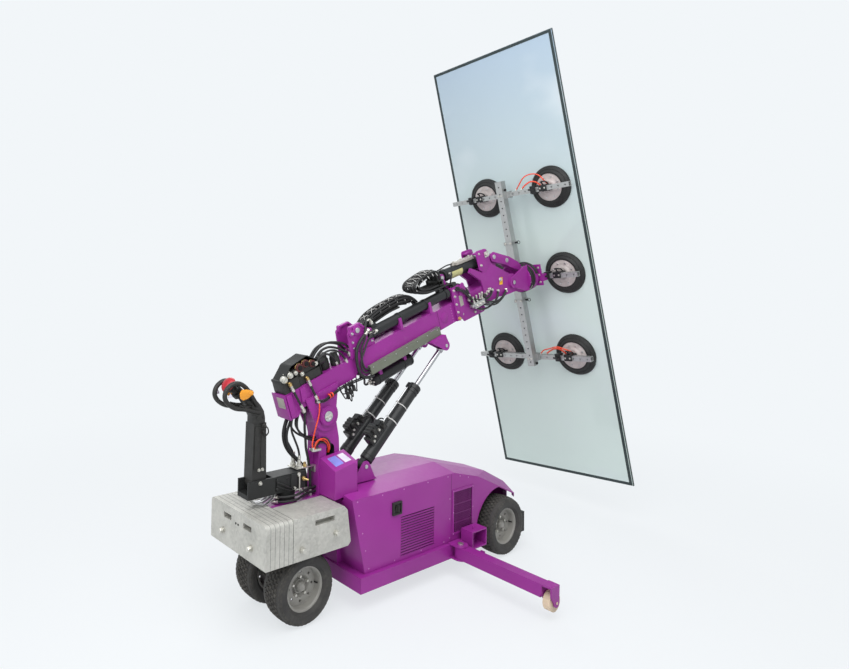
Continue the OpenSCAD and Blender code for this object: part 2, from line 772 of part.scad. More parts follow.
leg_end = leg_reach - 70;
castor_x = leg_x + 18;
castor_z = castor_d / 2 + 50;
module leg(side) {
    color("#8d2390") machine() mirror([0, side > 0 ? 0 : 1, 0]) {
        difference() {
            union() {
                box(leg_x - leg_tube / 2, leg_x + leg_tube / 2, leg_pivot_y, leg_end, leg_z - leg_tube / 2, leg_z + leg_tube / 2);
                translate([leg_x, leg_pivot_y, leg_z - leg_tube / 2]) cylinder(d = leg_tube, h = leg_tube);
                for (y = [leg_end, leg_reach - 8]) side_plate(y, y + 8) castor_cheek();
                box(leg_x - leg_tube / 2, leg_x + leg_tube / 2 + 10, leg_end, leg_reach, leg_z + leg_tube / 2 - 8, leg_z + leg_tube / 2);
                for (x = [leg_x + leg_tube / 2, leg_x + leg_tube / 2 + 20]) box(x - 2, x + 8, 470, 500, leg_z, leg_z + 34);
                box(leg_x + leg_tube / 2 - 2, leg_x + leg_tube / 2 + 28, 470, 500, leg_z - 10, leg_z + 2);
            }
            translate([leg_x, leg_pivot_y, 0]) cylinder(d = leg_pin_d + 2 * run_fit, h = 400);
            translate([castor_x, 0, castor_z]) cyl_y(14 + 2 * run_fit, leg_end - 1, leg_reach + 1);
        }
    }
}
module castor_cheek() {
    translate([castor_x, castor_z]) circle(r = 26);
    polygon([
        [leg_x - leg_tube / 2, leg_z - leg_tube / 2 + 20], [leg_x - leg_tube / 2, leg_z + leg_tube / 2],
        [leg_x + leg_tube / 2 + 10, leg_z + leg_tube / 2], [castor_x + 26, castor_z], [castor_x - 26, castor_z]
    ]);
}
module leg_left() leg(1);
module leg_right() leg(-1);

module castor(side) {
    gap = 5;
    color("#e4dcb8") machine() mirror([0, side > 0 ? 0 : 1, 0]) translate([castor_x, 0, castor_z]) {
        cyl_y(castor_d, leg_end + 8 + gap, leg_reach - 8 - gap);
        cyl_y(14, leg_end - seat_gap, leg_reach + 4);
    }
}
module castor_left() castor(1);
module castor_right() castor(-1);

// Boom, in its own frame: x along the boom from the pivot, z square to it

tube_low = 117;
tube_high = 243;
tube_rear_u = -245;
sleeve_start = 330;
sleeve_top = sleeve_low + sleeve_h;
cheek_in = mast_w / 2 + 1;
cheek_t = 12;
boss_y = 85;
luff_pin_u = 1099;
luff_pin_v = 18;
extend_y = -35;
extend_v = 330;
extend_start = 480;

module boom() {
    color("#8d2390") at_boom() difference() {
        union() {
            box(tube_rear_u, sleeve_start + 20, -55, 55, tube_low, tube_high);
            side_plate(-55, 55) polygon([
                [tube_rear_u, 84], [tube_rear_u + 60, 84], [tube_rear_u + 100, tube_low], [tube_rear_u, tube_low]
            ]);
            both_sides() side_plate(cheek_in, cheek_in + cheek_t) {
                circle(r = 92);
                polygon([[-92, 0], [-118, tube_low + 40], [150, tube_low + 40], [90, 20]]);
            }
            both_sides() side_plate(54, cheek_in + 1) polygon([
                [-112, tube_low], [-118, tube_low + 40], [150, tube_low + 40], [128, tube_low]
            ]);
            both_sides() cyl_y(118, cheek_in + cheek_t - 1, boss_y);
            box(sleeve_start, sleeve_end, -sleeve_w / 2, sleeve_w / 2, sleeve_low, sleeve_top);
            both_sides() top_clevis();
            extend_mounts();
            luff_lugs();
            tank_saddles();
        }
        box(sleeve_start + 12, sleeve_end + 1, -sleeve_w / 2 + sleeve_wall, sleeve_w / 2 - sleeve_wall,
            sleeve_low + sleeve_wall, sleeve_top - sleeve_wall);
        cyl_y(pivot_pin_d + 2 * run_fit, -100, 100);
        translate([luff_pin_u, 0, luff_pin_v]) cyl_y(ram_pin_d + 2 * run_fit, -200, 200);
        translate([sleeve_start, 0, sleeve_low]) rotate([0, 45, 0]) box(-36, 36, -100, 100, -36, 36);
        translate([0, extend_y, extend_v]) cyl_x(extend_barrel_d + 2 * seat_gap, extend_start, 1320);
        translate([extend_start + 4, 0, extend_v]) cyl_y(extend_pin_d + 2 * seat_gap, -80, 80);
    }
}

extend_pin_d = 24;

// Ears over the sleeve's root that hold the rear end of the telescope cylinder
module top_clevis() {
    side_plate(50, 62) polygon([
        [300, tube_high - 2], [520, sleeve_top - 2], [520, 372], [470, 392], [430, 440], [350, 440], [318, 400]
    ]);
    box(340, 430, 30, 51, sleeve_top - 30, 300);
}

module extend_mounts() {
    box(extend_start + 4 - 20, extend_start + 4 + 20, -62, -62 + 12, sleeve_top - 2, extend_v + 26);
    side = extend_barrel_d / 2 + 8;
    for (u = [760, 1070]) box(u, u + 24, extend_y - side, extend_y + side, sleeve_top - 2, extend_v + 12);
}

luff_ear_t = 8;
module luff_lugs() {
    eye_half = ram_eye_w / 2 + 2;
    for (s = [-1, 1]) for (y = [ram_y - eye_half - luff_ear_t, ram_y + eye_half])
        side_plate(min(s * y, s * (y + luff_ear_t)), max(s * y, s * (y + luff_ear_t))) {
            translate([luff_pin_u, luff_pin_v]) circle(r = 35);
            polygon([
                [luff_pin_u - 130, sleeve_low - 8], [luff_pin_u - 24, luff_pin_v - 24],
                [luff_pin_u + 34, luff_pin_v - 6], [luff_pin_u + 18, sleeve_low - 8]
            ]);
        }
    y_out = ram_y + eye_half + luff_ear_t;
    box(luff_pin_u - 130, luff_pin_u + 18, -y_out, y_out, sleeve_low - 9, sleeve_low);
}

tank_d = 82;
tank_v = 8;
tank_u0 = 465;
tank_u1 = 850;
module tank_saddles() {
    for (u = [tank_u0 + 60, tank_u1 - 84]) difference() {
        box(u, u + 24, -34, 34, tank_v, sleeve_low + 1);
        translate([0, 0, tank_v]) cyl_x(tank_d + 2 * seat_gap, u - 1, u + 25);
    }
}

module vacuum_tank() {
    color("#1d1f20") at_boom() translate([tank_u0, 0, tank_v]) rotate([0, 90, 0]) rotate_extrude()
        polygon([
            [0, 0], [22, 0], [tank_d / 2 - 6, 8], [tank_d / 2, 18], [tank_d / 2, tank_u1 - tank_u0 - 18],
            [tank_d / 2 - 6, tank_u1 - tank_u0 - 8], [22, tank_u1 - tank_u0], [0, tank_u1 - tank_u0]
        ]);
}

module boom_pin() {
    color("silver") at_boom() {
        cyl_y(pivot_pin_d, -boss_y - 4, boss_y + 4);
        both_sides() cyl_y(62, boss_y + seat_gap, boss_y + 5);
        both_sides() translate([luff_pin_u, 0, luff_pin_v]) {
            edge = ram_eye_w / 2 + 2 + luff_ear_t;
            cyl_y(ram_pin_d, ram_y - edge - 4, ram_y + edge + 4);
        }
    }
}

module side_channel() {
    color("#7d8a78") at_boom() difference() {
        box(406, 1108, -sleeve_w / 2 - 28, -sleeve_w / 2 - seat_gap, sleeve_low + 2, sleeve_low + 60);
        box(410, 1104, -sleeve_w / 2 - 24, -sleeve_w / 2 + 1, sleeve_low + 6, sleeve_low + 56);
    }
}

// Hydraulic valve block, its cover and the pump motor's end over the rear of the boom
module valve_box() {
    color("#191b1c") at_boom() {
        side_plate(-50, 50) polygon([
            [-235, tube_high + seat_gap], [-235, 306], [-140, 412], [-20, 440], [44, 400], [60, 330],
            [60, tube_high + seat_gap]
        ]);
        for (i = [0:3]) translate([-200 + i * 62, 0, 292 + i * 12]) {
            translate([0, -50 - seat_gap, 0]) rotate([90, 0, 0]) cylinder(d = 34, h = 22);
            translate([0, -72 - seat_gap, 0]) rotate([90, 0, 0]) cylinder(d = 24, h = 10);
        }
        translate([130, 20, tube_high + seat_gap]) cylinder(d = 62, h = 90);
        translate([210, -16, tube_high + seat_gap]) cylinder(d = 50, h = 70);
    }
}

module extend_barrel() {
    color("#1d1f20") at_boom() difference() {
        translate([0, extend_y, extend_v]) {
            cyl_x(extend_barrel_d, extend_start, extend_start + extend_barrel_l);
            cyl_x(extend_barrel_d + 10, extend_start + extend_barrel_l - 40, extend_start + extend_barrel_l - 12);
        }
        translate([0, extend_y, extend_v]) cyl_x(extend_rod_d + 2 * run_fit, extend_start + 60, 1400);
    }
}

extend_rod_d = 34;
extend_thread_d = 20;
extend_stop_u = 1405;
module extend_rod() {
    color("#d5d8da") at_boom() translate([0, extend_y, extend_v]) {
        cyl_x(extend_rod_d, extend_start + 130, extend_stop_u - seat_gap);
        cyl_x(extend_thread_d, extend_stop_u - seat_gap, extend_stop_u + 26);
        translate([extend_stop_u + 10 + seat_gap, 0, 0]) rotate([0, 90, 0]) cylinder(d = 34, h = 14, $fn = 6);
    }
}

// Inner boom and the head frame at its end

inner_w = sleeve_w - 2 * sleeve_wall - 4;
inner_low = sleeve_low + sleeve_wall + 3;
inner_high = sleeve_top - sleeve_wall - 3;
jib_end = 1880;
tilt_root = [1308, 449];
rocker_pivot = [head_pivot_u - 151, head_pivot_v + 74];
rocker_tip = [rocker_pivot.x + 6, rocker_pivot.y + rocker_r];
link_tip = [head_pivot_u + 6, head_pivot_v + rocker_r];
head_in = 60;
head_t = 10;

module inner_boom() {
    color("#8d2390") at_boom() difference() {
        union() {
            difference() {
                box(350, jib_end, -inner_w / 2, inner_w / 2, inner_low, inner_high);
                box(349, 1300, -inner_w / 2 + 8, inner_w / 2 - 8, inner_low + 8, inner_high - 8);
            }
            both_sides() side_plate(inner_w / 2 - 1, inner_w / 2 + 10) polygon([
                [1336, inner_low], [1336, 356], [1429, 359], [1501, 315], [1470, inner_high - 30], [1400, inner_low]
            ]);
            both_sides() side_plate(inner_w / 2 - 12, inner_w / 2) polygon([
                [1400, inner_low + 20], [1430, inner_low - 34], [1668, 62], [1692, 84], [1668, inner_low + 20]
            ]);
            box(extend_stop_u, extend_stop_u + 10, -inner_w / 2, inner_w / 2, inner_high - 4, 352);
            box(1336, 1430, -inner_w / 2, inner_w / 2, 348, 358);
            both_sides() side_plate(26, 36) {
                translate(tilt_root) circle(r = 28);
                polygon([[1286, 432], [1332, 378], [1345, 352], [1426, 352], [1400, 376], [1345, 388], [1330, 432]]);
            }
            both_sides() side_plate(inner_w / 2 - 1, head_in + 1) polygon([
                [1700, inner_low + 10], [1700, inner_high - 10], [jib_end, inner_high - 10], [jib_end, inner_low + 10]
            ]);
            both_sides() side_plate(head_in, head_in + head_t) {
                translate([head_pivot_u, head_pivot_v]) circle(r = 70);
                polygon([
                    [1700, inner_high - 10], [1690, 300], [1755, 395], [1830, 402], [2059, 234], [2140, 90], [2090, 78],
                    [1927, 94], [1872, 109], [1700, inner_low + 10]
                ]);
            }
            both_sides() side_plate(head_in - 12, head_in + head_t) polygon([
                [1583, 400], [1610, 424], [1760, 330], [1745, 290], [1700, 290]
            ]);
        }
        translate([0, extend_y, extend_v]) cyl_x(extend_thread_d + 2 * seat_gap, extend_stop_u - 1, extend_stop_u + 11);
        translate([tilt_root.x, 0, tilt_root.y]) cyl_y(head_pin_d + 2 * run_fit, -40, 40);
        translate([rocker_pivot.x, 0, rocker_pivot.y]) cyl_y(head_pin_d + 2 * run_fit, -90, 90);
        translate([head_pivot_u, 0, head_pivot_v]) cyl_y(head_pin_d + 2 * run_fit, -90, 90);
        box(jib_end - 18, jib_end + 1, -35, 35, inner_high - 27, inner_high + 1);
    }
    color("silver") at_boom() {
        translate([rocker_pivot.x, 0, rocker_pivot.y]) cyl_y(head_pin_d, -head_in - head_t - 6, head_in + head_t + 6);
    }
}

tilt_len = norm(rocker_tip - tilt_root);
tilt_angle = atan2(rocker_tip.y - tilt_root.y, rocker_tip.x - tilt_root.x);
tilt_barrel_l = 450;
tilt_rod_d = 42;
module at_tilt() {
    at_boom() translate([tilt_root.x, 0, tilt_root.y]) rotate([0, -tilt_angle, 0]) children();
}

module tilt_barrel() {
    color("#1d1f20") at_tilt() difference() {
        union() {
            cyl_y(56, -24, 24);
            box(0, 46, -22, 22, -24, 24);
            cyl_x(tilt_barrel_d, 41, tilt_barrel_l);
            cyl_x(tilt_barrel_d + 8, tilt_barrel_l - 34, tilt_barrel_l);
        }
        cyl_x(tilt_rod_d + 2 * run_fit, 120, tilt_barrel_l + 1);
    }
    color("silver") at_tilt() both_sides() cyl_y(head_pin_d, 24, 42);
}

module tilt_rod() {
    color("#d5d8da") at_tilt() {
        cyl_x(tilt_rod_d, 212, tilt_len - 20);
        translate([tilt_len, 0, 0]) cyl_y(54, -20, 20);
    }
}

module tilt_rocker() {
    color("#8d2390") at_boom() difference() {
        union() {
            both_sides() side_plate(23, 34) {
                translate(rocker_pivot) circle(r = 34);
                translate(rocker_tip) circle(r = 28);
                polygon([
                    [rocker_pivot.x - 34, rocker_pivot.y], [rocker_pivot.x + 34, rocker_pivot.y],
                    [rocker_tip.x + 28, rocker_tip.y], [rocker_tip.x - 28, rocker_tip.y]
                ]);
            }
            translate([rocker_pivot.x, 0, rocker_pivot.y]) cyl_y(56, -24, 24);
        }
        translate([rocker_pivot.x, 0, rocker_pivot.y]) cyl_y(head_pin_d + 2 * run_fit, -90, 90);
        translate([rocker_tip.x, 0, rocker_tip.y]) cyl_y(head_pin_d + 2 * run_fit, -90, 90);
    }
    color("silver") at_boom() translate([rocker_tip.x, 0, rocker_tip.y])
        both_sides() cyl_y(head_pin_d, 22, 52);
}

module tilt_link() {
    color("#8d2390") at_boom() difference() {
        both_sides() side_plate(38, 48) {
            translate(rocker_tip) circle(r = 30);
            translate(link_tip) circle(r = 30);
            polygon([
                [rocker_tip.x, rocker_tip.y - 30], [link_tip.x, link_tip.y - 30],
                [link_tip.x + 10, link_tip.y + 28], [rocker_tip.x + 10, rocker_tip.y + 28]
            ]);
        }
        translate([rocker_tip.x, 0, rocker_tip.y]) cyl_y(head_pin_d + 2 * run_fit, -90, 90);
        translate([link_tip.x, 0, link_tip.y]) cyl_y(head_pin_d + 2 * run_fit, -90, 90);
    }
}

// Luffing rams

luff_pin_x = boom_pivot_x + luff_pin_u * cos(boom_angle) - luff_pin_v * sin(boom_angle);
luff_pin_z = boom_pivot_z + luff_pin_u * sin(boom_angle) + luff_pin_v * cos(boom_angle);
ram_len = norm([luff_pin_x - ram_pin_x, luff_pin_z - ram_pin_z]);
ram_angle = atan2(luff_pin_z - ram_pin_z, luff_pin_x - ram_pin_x);

module at_rams() {
    machine() both_sides() translate([ram_pin_x, ram_y, ram_pin_z]) rotate([0, -ram_angle, 0]) children();
}

module ram_rods() {
    color("#d5d8da") at_rams() difference() {
        union() {
            cyl_x(ram_rod_d, 268, ram_len - 24);
            translate([ram_len, 0, 0]) cyl_y(60, -ram_eye_w / 2, ram_eye_w / 2);
            cyl_x(46, ram_len - 56, ram_len - 20);
        }
        translate([ram_len, 0, 0]) cyl_y(ram_pin_d + 2 * run_fit, -40, 40);
    }
}

module ram_barrels() {
    color("#1d1f20") at_rams() difference() {
        union() {
            cyl_y(60, -ram_eye_w / 2, ram_eye_w / 2);
            box(0, 46, -ram_eye_w / 2, ram_eye_w / 2, -26, 26);
            cyl_x(ram_d, 40, ram_barrel_l);
            cyl_x(ram_d + 8, ram_barrel_l - 34, ram_barrel_l - 6);
            cyl_x(ram_d + 6, 44, 64);
            box(130, 292, -28, 28, 30, 88);
            box(150, 232, -26, 26, 84, 124);
            box(244, 280, -22, 22, 84, 104);
        }
        cyl_x(ram_rod_d + 2 * run_fit, 120, ram_barrel_l + 1);
    }
}

// Head, in the slewing frame: x along the slewing axis with 0 on the pane's rear face, z up the pane

module at_slew() {
    machine() translate([face_x, 0, face_z]) rotate([0, -pane_lean, 0]) children();
}
module at_frame() {
    at_slew() rotate([pane_roll, 0, 0]) children();
}
function boom_to_world(p) = [
    boom_pivot_x + p.x * cos(boom_angle) - p.y * sin(boom_angle),
    boom_pivot_z + p.x * sin(boom_angle) + p.y * cos(boom_angle)
];
function world_to_slew(p) = let (d = p - [face_x, face_z])
    [d.x * cos(pane_lean) + d.y * sin(pane_lean), -d.x * sin(pane_lean) + d.y * cos(pane_lean)];
tilt_pin_s = world_to_slew(boom_to_world([head_pivot_u, head_pivot_v]));
link_pin_s = world_to_slew(boom_to_world(link_tip));

slew_back = -330;
slew_front = -278;
bracket_t = 14;
cheek_y0 = head_in + head_t + 3;

module slew_bracket() {
    flange_x = slew_back - seat_gap;
    color("#8d2390") at_slew() difference() {
        union() {
            both_sides() side_plate(cheek_y0, cheek_y0 + 12) {
                translate(tilt_pin_s) circle(r = 44);
                polygon([
                    [tilt_pin_s.x, tilt_pin_s.y + 44], [flange_x - 40, 112], [flange_x, 112], [flange_x, -92],
                    [flange_x - 40, -92], [tilt_pin_s.x, tilt_pin_s.y - 44]
                ]);
            }
            cyl_x(slew_d - 8, flange_x - bracket_t, flange_x);
            side_plate(-34, 34) {
                translate(link_pin_s) circle(r = 30);
                polygon([
                    [link_pin_s.x, link_pin_s.y - 30], [link_pin_s.x + 60, link_pin_s.y - 64], [flange_x, 60],
                    [flange_x, 108], [flange_x - 40, 150], [link_pin_s.x + 60, link_pin_s.y + 22],
                    [link_pin_s.x, link_pin_s.y + 30]
                ]);
            }
        }
        translate([tilt_pin_s.x, 0, tilt_pin_s.y]) cyl_y(head_pin_d + 2 * run_fit, -100, 100);
        translate([link_pin_s.x, 0, link_pin_s.y]) cyl_y(head_pin_d + 2 * run_fit, -100, 100);
    }
    color("silver") at_slew() {
        translate([tilt_pin_s.x, 0, tilt_pin_s.y]) cyl_y(head_pin_d, -cheek_y0 - 18, cheek_y0 + 18);
        translate([link_pin_s.x, 0, link_pin_s.y]) cyl_y(head_pin_d, -52, 52);
    }
}

module slew_drive() {
    color("#1b1c1e") at_slew() {
        cyl_x(slew_d, slew_back, slew_front);
        box(slew_back, slew_front - 6, slew_d / 2 - 12, slew_d / 2 + 34, -60, 60);
    }
}

// Vacuum frame

hub_back = slew_front + run_fit;
beam_back = -199;
beam_mid = beam_back + (beam_tube + 10) / 2;
arm_x = -108;
upper_arm_z = 696;
lower_arm_z = -729;
middle_arm_z = -28;

module square_tube(l, side, wall) {
    difference() {
        translate([-side / 2, -side / 2, 0]) cube([side, side, l]);
        translate([-side / 2 + wall, -side / 2 + wall, -1]) cube([side - 2 * wall, side - 2 * wall, l + 2]);
    }
}
module drilled_tube(l, side) {
    difference() {
        square_tube(l, side, tube_wall);
        for (z = [hole_pitch / 2:hole_pitch:l - hole_d]) translate([0, 0, z]) {
            rotate([0, 90, 0]) cylinder(d = hole_d, h = side + 2, center = true);
        }
    }
}
module arm_y(y0, y1, z) {
    translate([arm_x, y0, z]) rotate([-90, 0, 0]) drilled_tube(y1 - y0, arm_tube);
}

module frame_hub() {
    outer = beam_tube + 10;
    color("#8d2390") at_frame() {
        cyl_x(slew_d, hub_back, hub_back + 46);
        cyl_x(120, hub_back + 46, beam_back - seat_gap - 10);
        box(beam_back - seat_gap - 12, beam_back - seat_gap, -130, beam_y + 80, -88, 88);
        for (z = [-88, 64]) box(beam_back - seat_gap, beam_back + outer + 12, beam_y + outer / 2 + seat_gap,
            beam_y + outer / 2 + 12, z, z + 24);
        for (z = [-88, 64]) box(beam_back - seat_gap, beam_back + outer + 12, beam_y - outer / 2 - 12,
            beam_y - outer / 2 - seat_gap, z, z + 24);
        difference() {
            box(beam_back - 2, arm_x + arm_tube / 2 + 8, -132, -90, middle_arm_z - arm_tube / 2 - 8, middle_arm_z + arm_tube / 2 + 8);
            box(arm_x - arm_tube / 2 - seat_gap, arm_x + arm_tube / 2 + seat_gap, -140, -80,
                middle_arm_z - arm_tube / 2 - seat_gap, middle_arm_z + arm_tube / 2 + seat_gap);
        }
    }
    color("#b4b6b5") at_frame() {
        translate([beam_mid, beam_y, -222]) square_tube(520, outer, tube_wall);
        arm_y(-392, beam_y - outer / 2 - seat_gap, middle_arm_z);
        arm_y(beam_y + outer / 2 + seat_gap, 664, middle_arm_z);
    }
}

module beam_end_clamp(z) {
    half = arm_tube / 2 + seat_gap;
    difference() {
        box(arm_x - arm_tube / 2 - 16, arm_x + arm_tube / 2 + 8, beam_y - 46, beam_y + 46, z - half - 8, z + half + 8);
        box(arm_x - half, arm_x + half, beam_y - 60, beam_y + 60, z - half, z + half);
        translate([beam_mid, beam_y, z]) box(-beam_tube / 2 - seat_gap, beam_tube / 2 + seat_gap,
            -beam_tube / 2 - seat_gap, beam_tube / 2 + seat_gap, -60, 60);
    }
}

module upper_beam() {
    color("#b4b6b5") at_frame() {
        translate([beam_mid, beam_y, 20]) drilled_tube(upper_arm_z + 120 - 20, beam_tube);
        arm_y(-456, 703, upper_arm_z);
    }
    color("#8f9294") at_frame() beam_end_clamp(upper_arm_z);
}

module lower_beam() {
    color("#b4b6b5") at_frame() {
        translate([beam_mid, beam_y, lower_arm_z - 60]) drilled_tube(-lower_arm_z + 60 - 20, beam_tube);
        arm_y(-377, 702, lower_arm_z);
    }
    color("#8f9294") at_frame() beam_end_clamp(lower_arm_z);
}

plate_d = cup_d * 0.68;
module suction_cup(y, z) {
    back = arm_x + arm_tube / 2;
    at_frame() translate([0, y, z]) {
        color("#1c1d1e") rotate([0, -90, 0]) rotate_extrude($fn = 72) polygon([
            [plate_d / 2 - 20, 6], [cup_d / 2 - 16, 0.3], [cup_d / 2, 4], [cup_d / 2 - 4, 16],
            [cup_d / 2 - 30, 30], [plate_d / 2 + 6, 40], [plate_d / 2 - 6, 40], [plate_d / 2 - 6, 26],
            [plate_d / 2 - 20, 24]
        ]);
        color("#c6c3c6") rotate([0, -90, 0]) rotate_extrude($fn = 72) polygon([
            [0, 27], [plate_d / 2 - 6 - seat_gap, 27], [plate_d / 2 - 6 - seat_gap, 37], [70, 42], [50, 50], [0, 50]
        ]);
        color("#202123") {
            box(back + seat_gap, -50 - seat_gap, -34, 34, -26, 26);
            for (w = [-1, 1]) translate([0, w * 22, 0])
                box(arm_x - arm_tube / 2 - 10, back + seat_gap, -9, 9, arm_tube / 2 + seat_gap, arm_tube / 2 + 10);
            box(arm_x - arm_tube / 2 - 12, arm_x - arm_tube / 2 - seat_gap, -31, 31, -arm_tube / 2, arm_tube / 2 + 10);
        }
    }
}
upper_cup_y = [400, -231];
middle_cup_y = [504, -218];
lower_cup_y = [491, -182];
module upper_cups() for (y = upper_cup_y) suction_cup(y, upper_arm_z);
module middle_cups() for (y = middle_cup_y) suction_cup(y, middle_arm_z);
module lower_cups() for (y = lower_cup_y) suction_cup(y, lower_arm_z);

// Glazing unit: two sheets of glass with a dark spacer frame between them and round their edge

module pane_glass() {
    inner_w = pane_w - 2 * glass_inset;
    inner_h = pane_h - 2 * glass_inset;
    color([0.7, 0.82, 0.88]) at_frame() translate([0, pane_y, pane_z])
        for (x = [0, glass_t + spacer_t]) translate([x, -inner_w / 2, -inner_h / 2]) cube([glass_t, inner_w, inner_h]);
}
module pane_edge() {
    color("#30383b") at_frame() translate([0, pane_y, pane_z]) {
        difference() {
            box(glass_t + seat_gap, glass_t + spacer_t - seat_gap, -pane_w / 2, pane_w / 2, -pane_h / 2, pane_h / 2);
            box(0, pane_t, -pane_w / 2 + edge_w, pane_w / 2 - edge_w, -pane_h / 2 + edge_w, pane_h / 2 - edge_w);
        }
    }
}

// Nodes made of several separate pieces

module mast() {
    column_beam();
    mast_post();
    ram_bracket();
}
module side_panels() {
    side_panel(1);
    side_panel(-1);
    mesh_screens();
}
module power_pack() {
    battery_blocks();
    pump_and_tank();
}
module bolts_and_pins() {
    weight_bolts();
    color("silver") machine() both_sides() translate([leg_x, leg_pivot_y, 0]) {
        low = leg_z - leg_tube / 2 - leg_hinge_t - 6;
        translate([0, 0, low]) cylinder(d = leg_pin_d, h = leg_tube + 2 * leg_hinge_t + 12);
        translate([0, 0, leg_z + leg_tube / 2 + leg_hinge_t + 2 * seat_gap]) cylinder(d = leg_pin_d + 12, h = 8);
    }
}

// Hoses: one tube swept along a smooth curve through the points of each route

hose_sides = 8;
curve_steps = 2;
function unit(v) = v / norm(v);
function curve_point(a, b, c, d, t) = 0.5 * (2 * b + (c - a) * t + (2 * a - 5 * b + 4 * c - d) * t * t
    + (3 * b - 3 * c + d - a) * t * t * t);
function smooth(p) = let (last = len(p) - 1) concat([
    for (i = [0:last - 1]) for (j = [0:curve_steps - 1])
        curve_point(p[max(0, i - 1)], p[i], p[i + 1], p[min(last, i + 2)], j / curve_steps)
], [p[last]]);
function tangent(p, i) = unit(p[min(len(p) - 1, i + 1)] - p[max(0, i - 1)]);
function side_of(t, up) = unit(cross(t, up));

module hose(route, d, up = [0, 1, 0]) {
    path = smooth(route);
    rings = len(path);
    points = [
        for (i = [0:rings - 1]) let (t = tangent(path, i), a = side_of(t, up), b = cross(a, t))
            for (k = [0:hose_sides - 1])
                path[i] + d / 2 * (cos(k * 360 / hose_sides) * a + sin(k * 360 / hose_sides) * b)
    ];
    skin = [
        for (i = [0:rings - 2]) for (k = [0:hose_sides - 1]) let (
            m = (k + 1) % hose_sides, a = i * hose_sides + k, b = i * hose_sides + m
        ) each [[a, b + hose_sides, b], [a, a + hose_sides, b + hose_sides]]
    ];
    first = [for (k = [1:hose_sides - 2]) [0, k, k + 1]];
    base = (rings - 1) * hose_sides;
    last = [for (k = [1:hose_sides - 2]) [base, base + k + 1, base + k]];
    polyhedron(points = points, faces = concat(skin, first, last));
}

// Routes, in the frame of the piece that holds each hose
hose_foot = neck_top + seat_gap;
hose_top = 984;
mast_routes = [
    [
        [172, 44, hose_foot], [172, 44, 664], [170, 44, 710], [160, 42, 766], [140, 42, 814], [100, 38, 852], [56, 34, 894],
        [24, 32, 938], [8, 32, hose_top]
    ],
    [
        [170, 14, hose_foot], [170, 14, 664], [169, 14, 700], [164, 14, 750], [148, 14, 800], [112, 12, 842], [66, 10, 884],
        [32, 10, 930], [16, 12, hose_top]
    ],
    [
        [174, -20, hose_foot], [174, -20, 664], [174, -20, 700], [170, -22, 770], [152, -26, 850], [132, -28, 920],
        [124, -30, hose_top]
    ]
];
module mast_hoses() {
    color("#1a1a1b") machine() for (r = mast_routes) hose(r, 16);
}

boom_routes = [
    [[450, 40, 273], [560, 40, 273], [680, 40, 276], [800, 40, 273], [920, 40, 277], [1040, 40, 273], [1104, 40, 273]],
    [[450, 20, 273], [560, 20, 273], [680, 20, 277], [800, 20, 273], [920, 20, 276], [1040, 20, 273], [1104, 20, 273]],
    [[350, -76, 300], [330, -82, 240], [318, -84, 160], [350, -84, 100], [398, -84, 84]]
];
module boom_hoses() {
    color("#1a1a1b") at_boom() for (r = boom_routes) hose(r, 18, [0, 1, 0.3]);
}

head_routes = [
    [[1500, -66, 210], [1570, -84, 120], [1680, -88, 90], [1800, -84, 110], [1860, -77, 160]],
    [[1510, -66, 240], [1600, -86, 190], [1700, -88, 160], [1790, -77, 190]]
];
module head_hoses() {
    color("#1a1a1b") at_boom() for (r = head_routes) hose(r, 14, [0, 1, 0.3]);
}

cup_route = [
    [-50.6, 42, 0], [-56, 42, 0], [-62, 42, 0], [-76, 50, 30], [-92, 80, 62], [-104, 120, 70], [-108, 165, 52], [-108, 205, 25.2]
];
module upper_hoses() {
    color("#d8402c") at_frame() translate([0, upper_cup_y[1], upper_arm_z]) hose(cup_route, 12, [0, 0, 1]);
}
module lower_hoses() {
    color("#d8402c") at_frame() translate([0, lower_cup_y[1], lower_arm_z]) hose(cup_route, 12, [0, 0, 1]);
}

base_frame();
mast();
console_box();
hood_top();
side_panels();
power_pack();
drive_axle();
bumper();
rear_weights();
side_weights();
bolts_and_pins();
switch_plate();
switch_key();
mast_hoses();
wheel_front_left();
wheel_front_right();
wheel_rear_left();
wheel_rear_right();
tyre_front_left();
tyre_front_right();
tyre_rear_left();
tyre_rear_right();
steering_fork();
tiller_base();
tiller_column();
tiller_head();
belly_button();
thumb_rocker();
leg_left();
leg_right();
castor_left();
castor_right();
boom();
boom_pin();
side_channel();
valve_box();
vacuum_tank();
extend_barrel();
boom_hoses();
ram_rods();
ram_barrels();
inner_boom();
extend_rod();
tilt_barrel();
tilt_rod();
tilt_rocker();
tilt_link();
head_hoses();
slew_bracket();
slew_drive();
frame_hub();
upper_beam();
lower_beam();
upper_cups();
middle_cups();
lower_cups();
upper_hoses();
lower_hoses();
pane_glass();
pane_edge();
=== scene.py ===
"""Looks of a self-propelled glass panel lifter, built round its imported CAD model.

Lengths in the classes are millimetres in the frame of the sub-assembly that holds the piece: the machine's
own frame, with x forward from the rear steering axle, the boom's frame from its pivot, or the vacuum frame's
from the pane's face.
"""

import sys
import logging
import math
from dataclasses import dataclass, field
from enum import Enum
from typing import Callable, Optional, Sequence

import bmesh
import bpy
from mathutils import Matrix, Vector


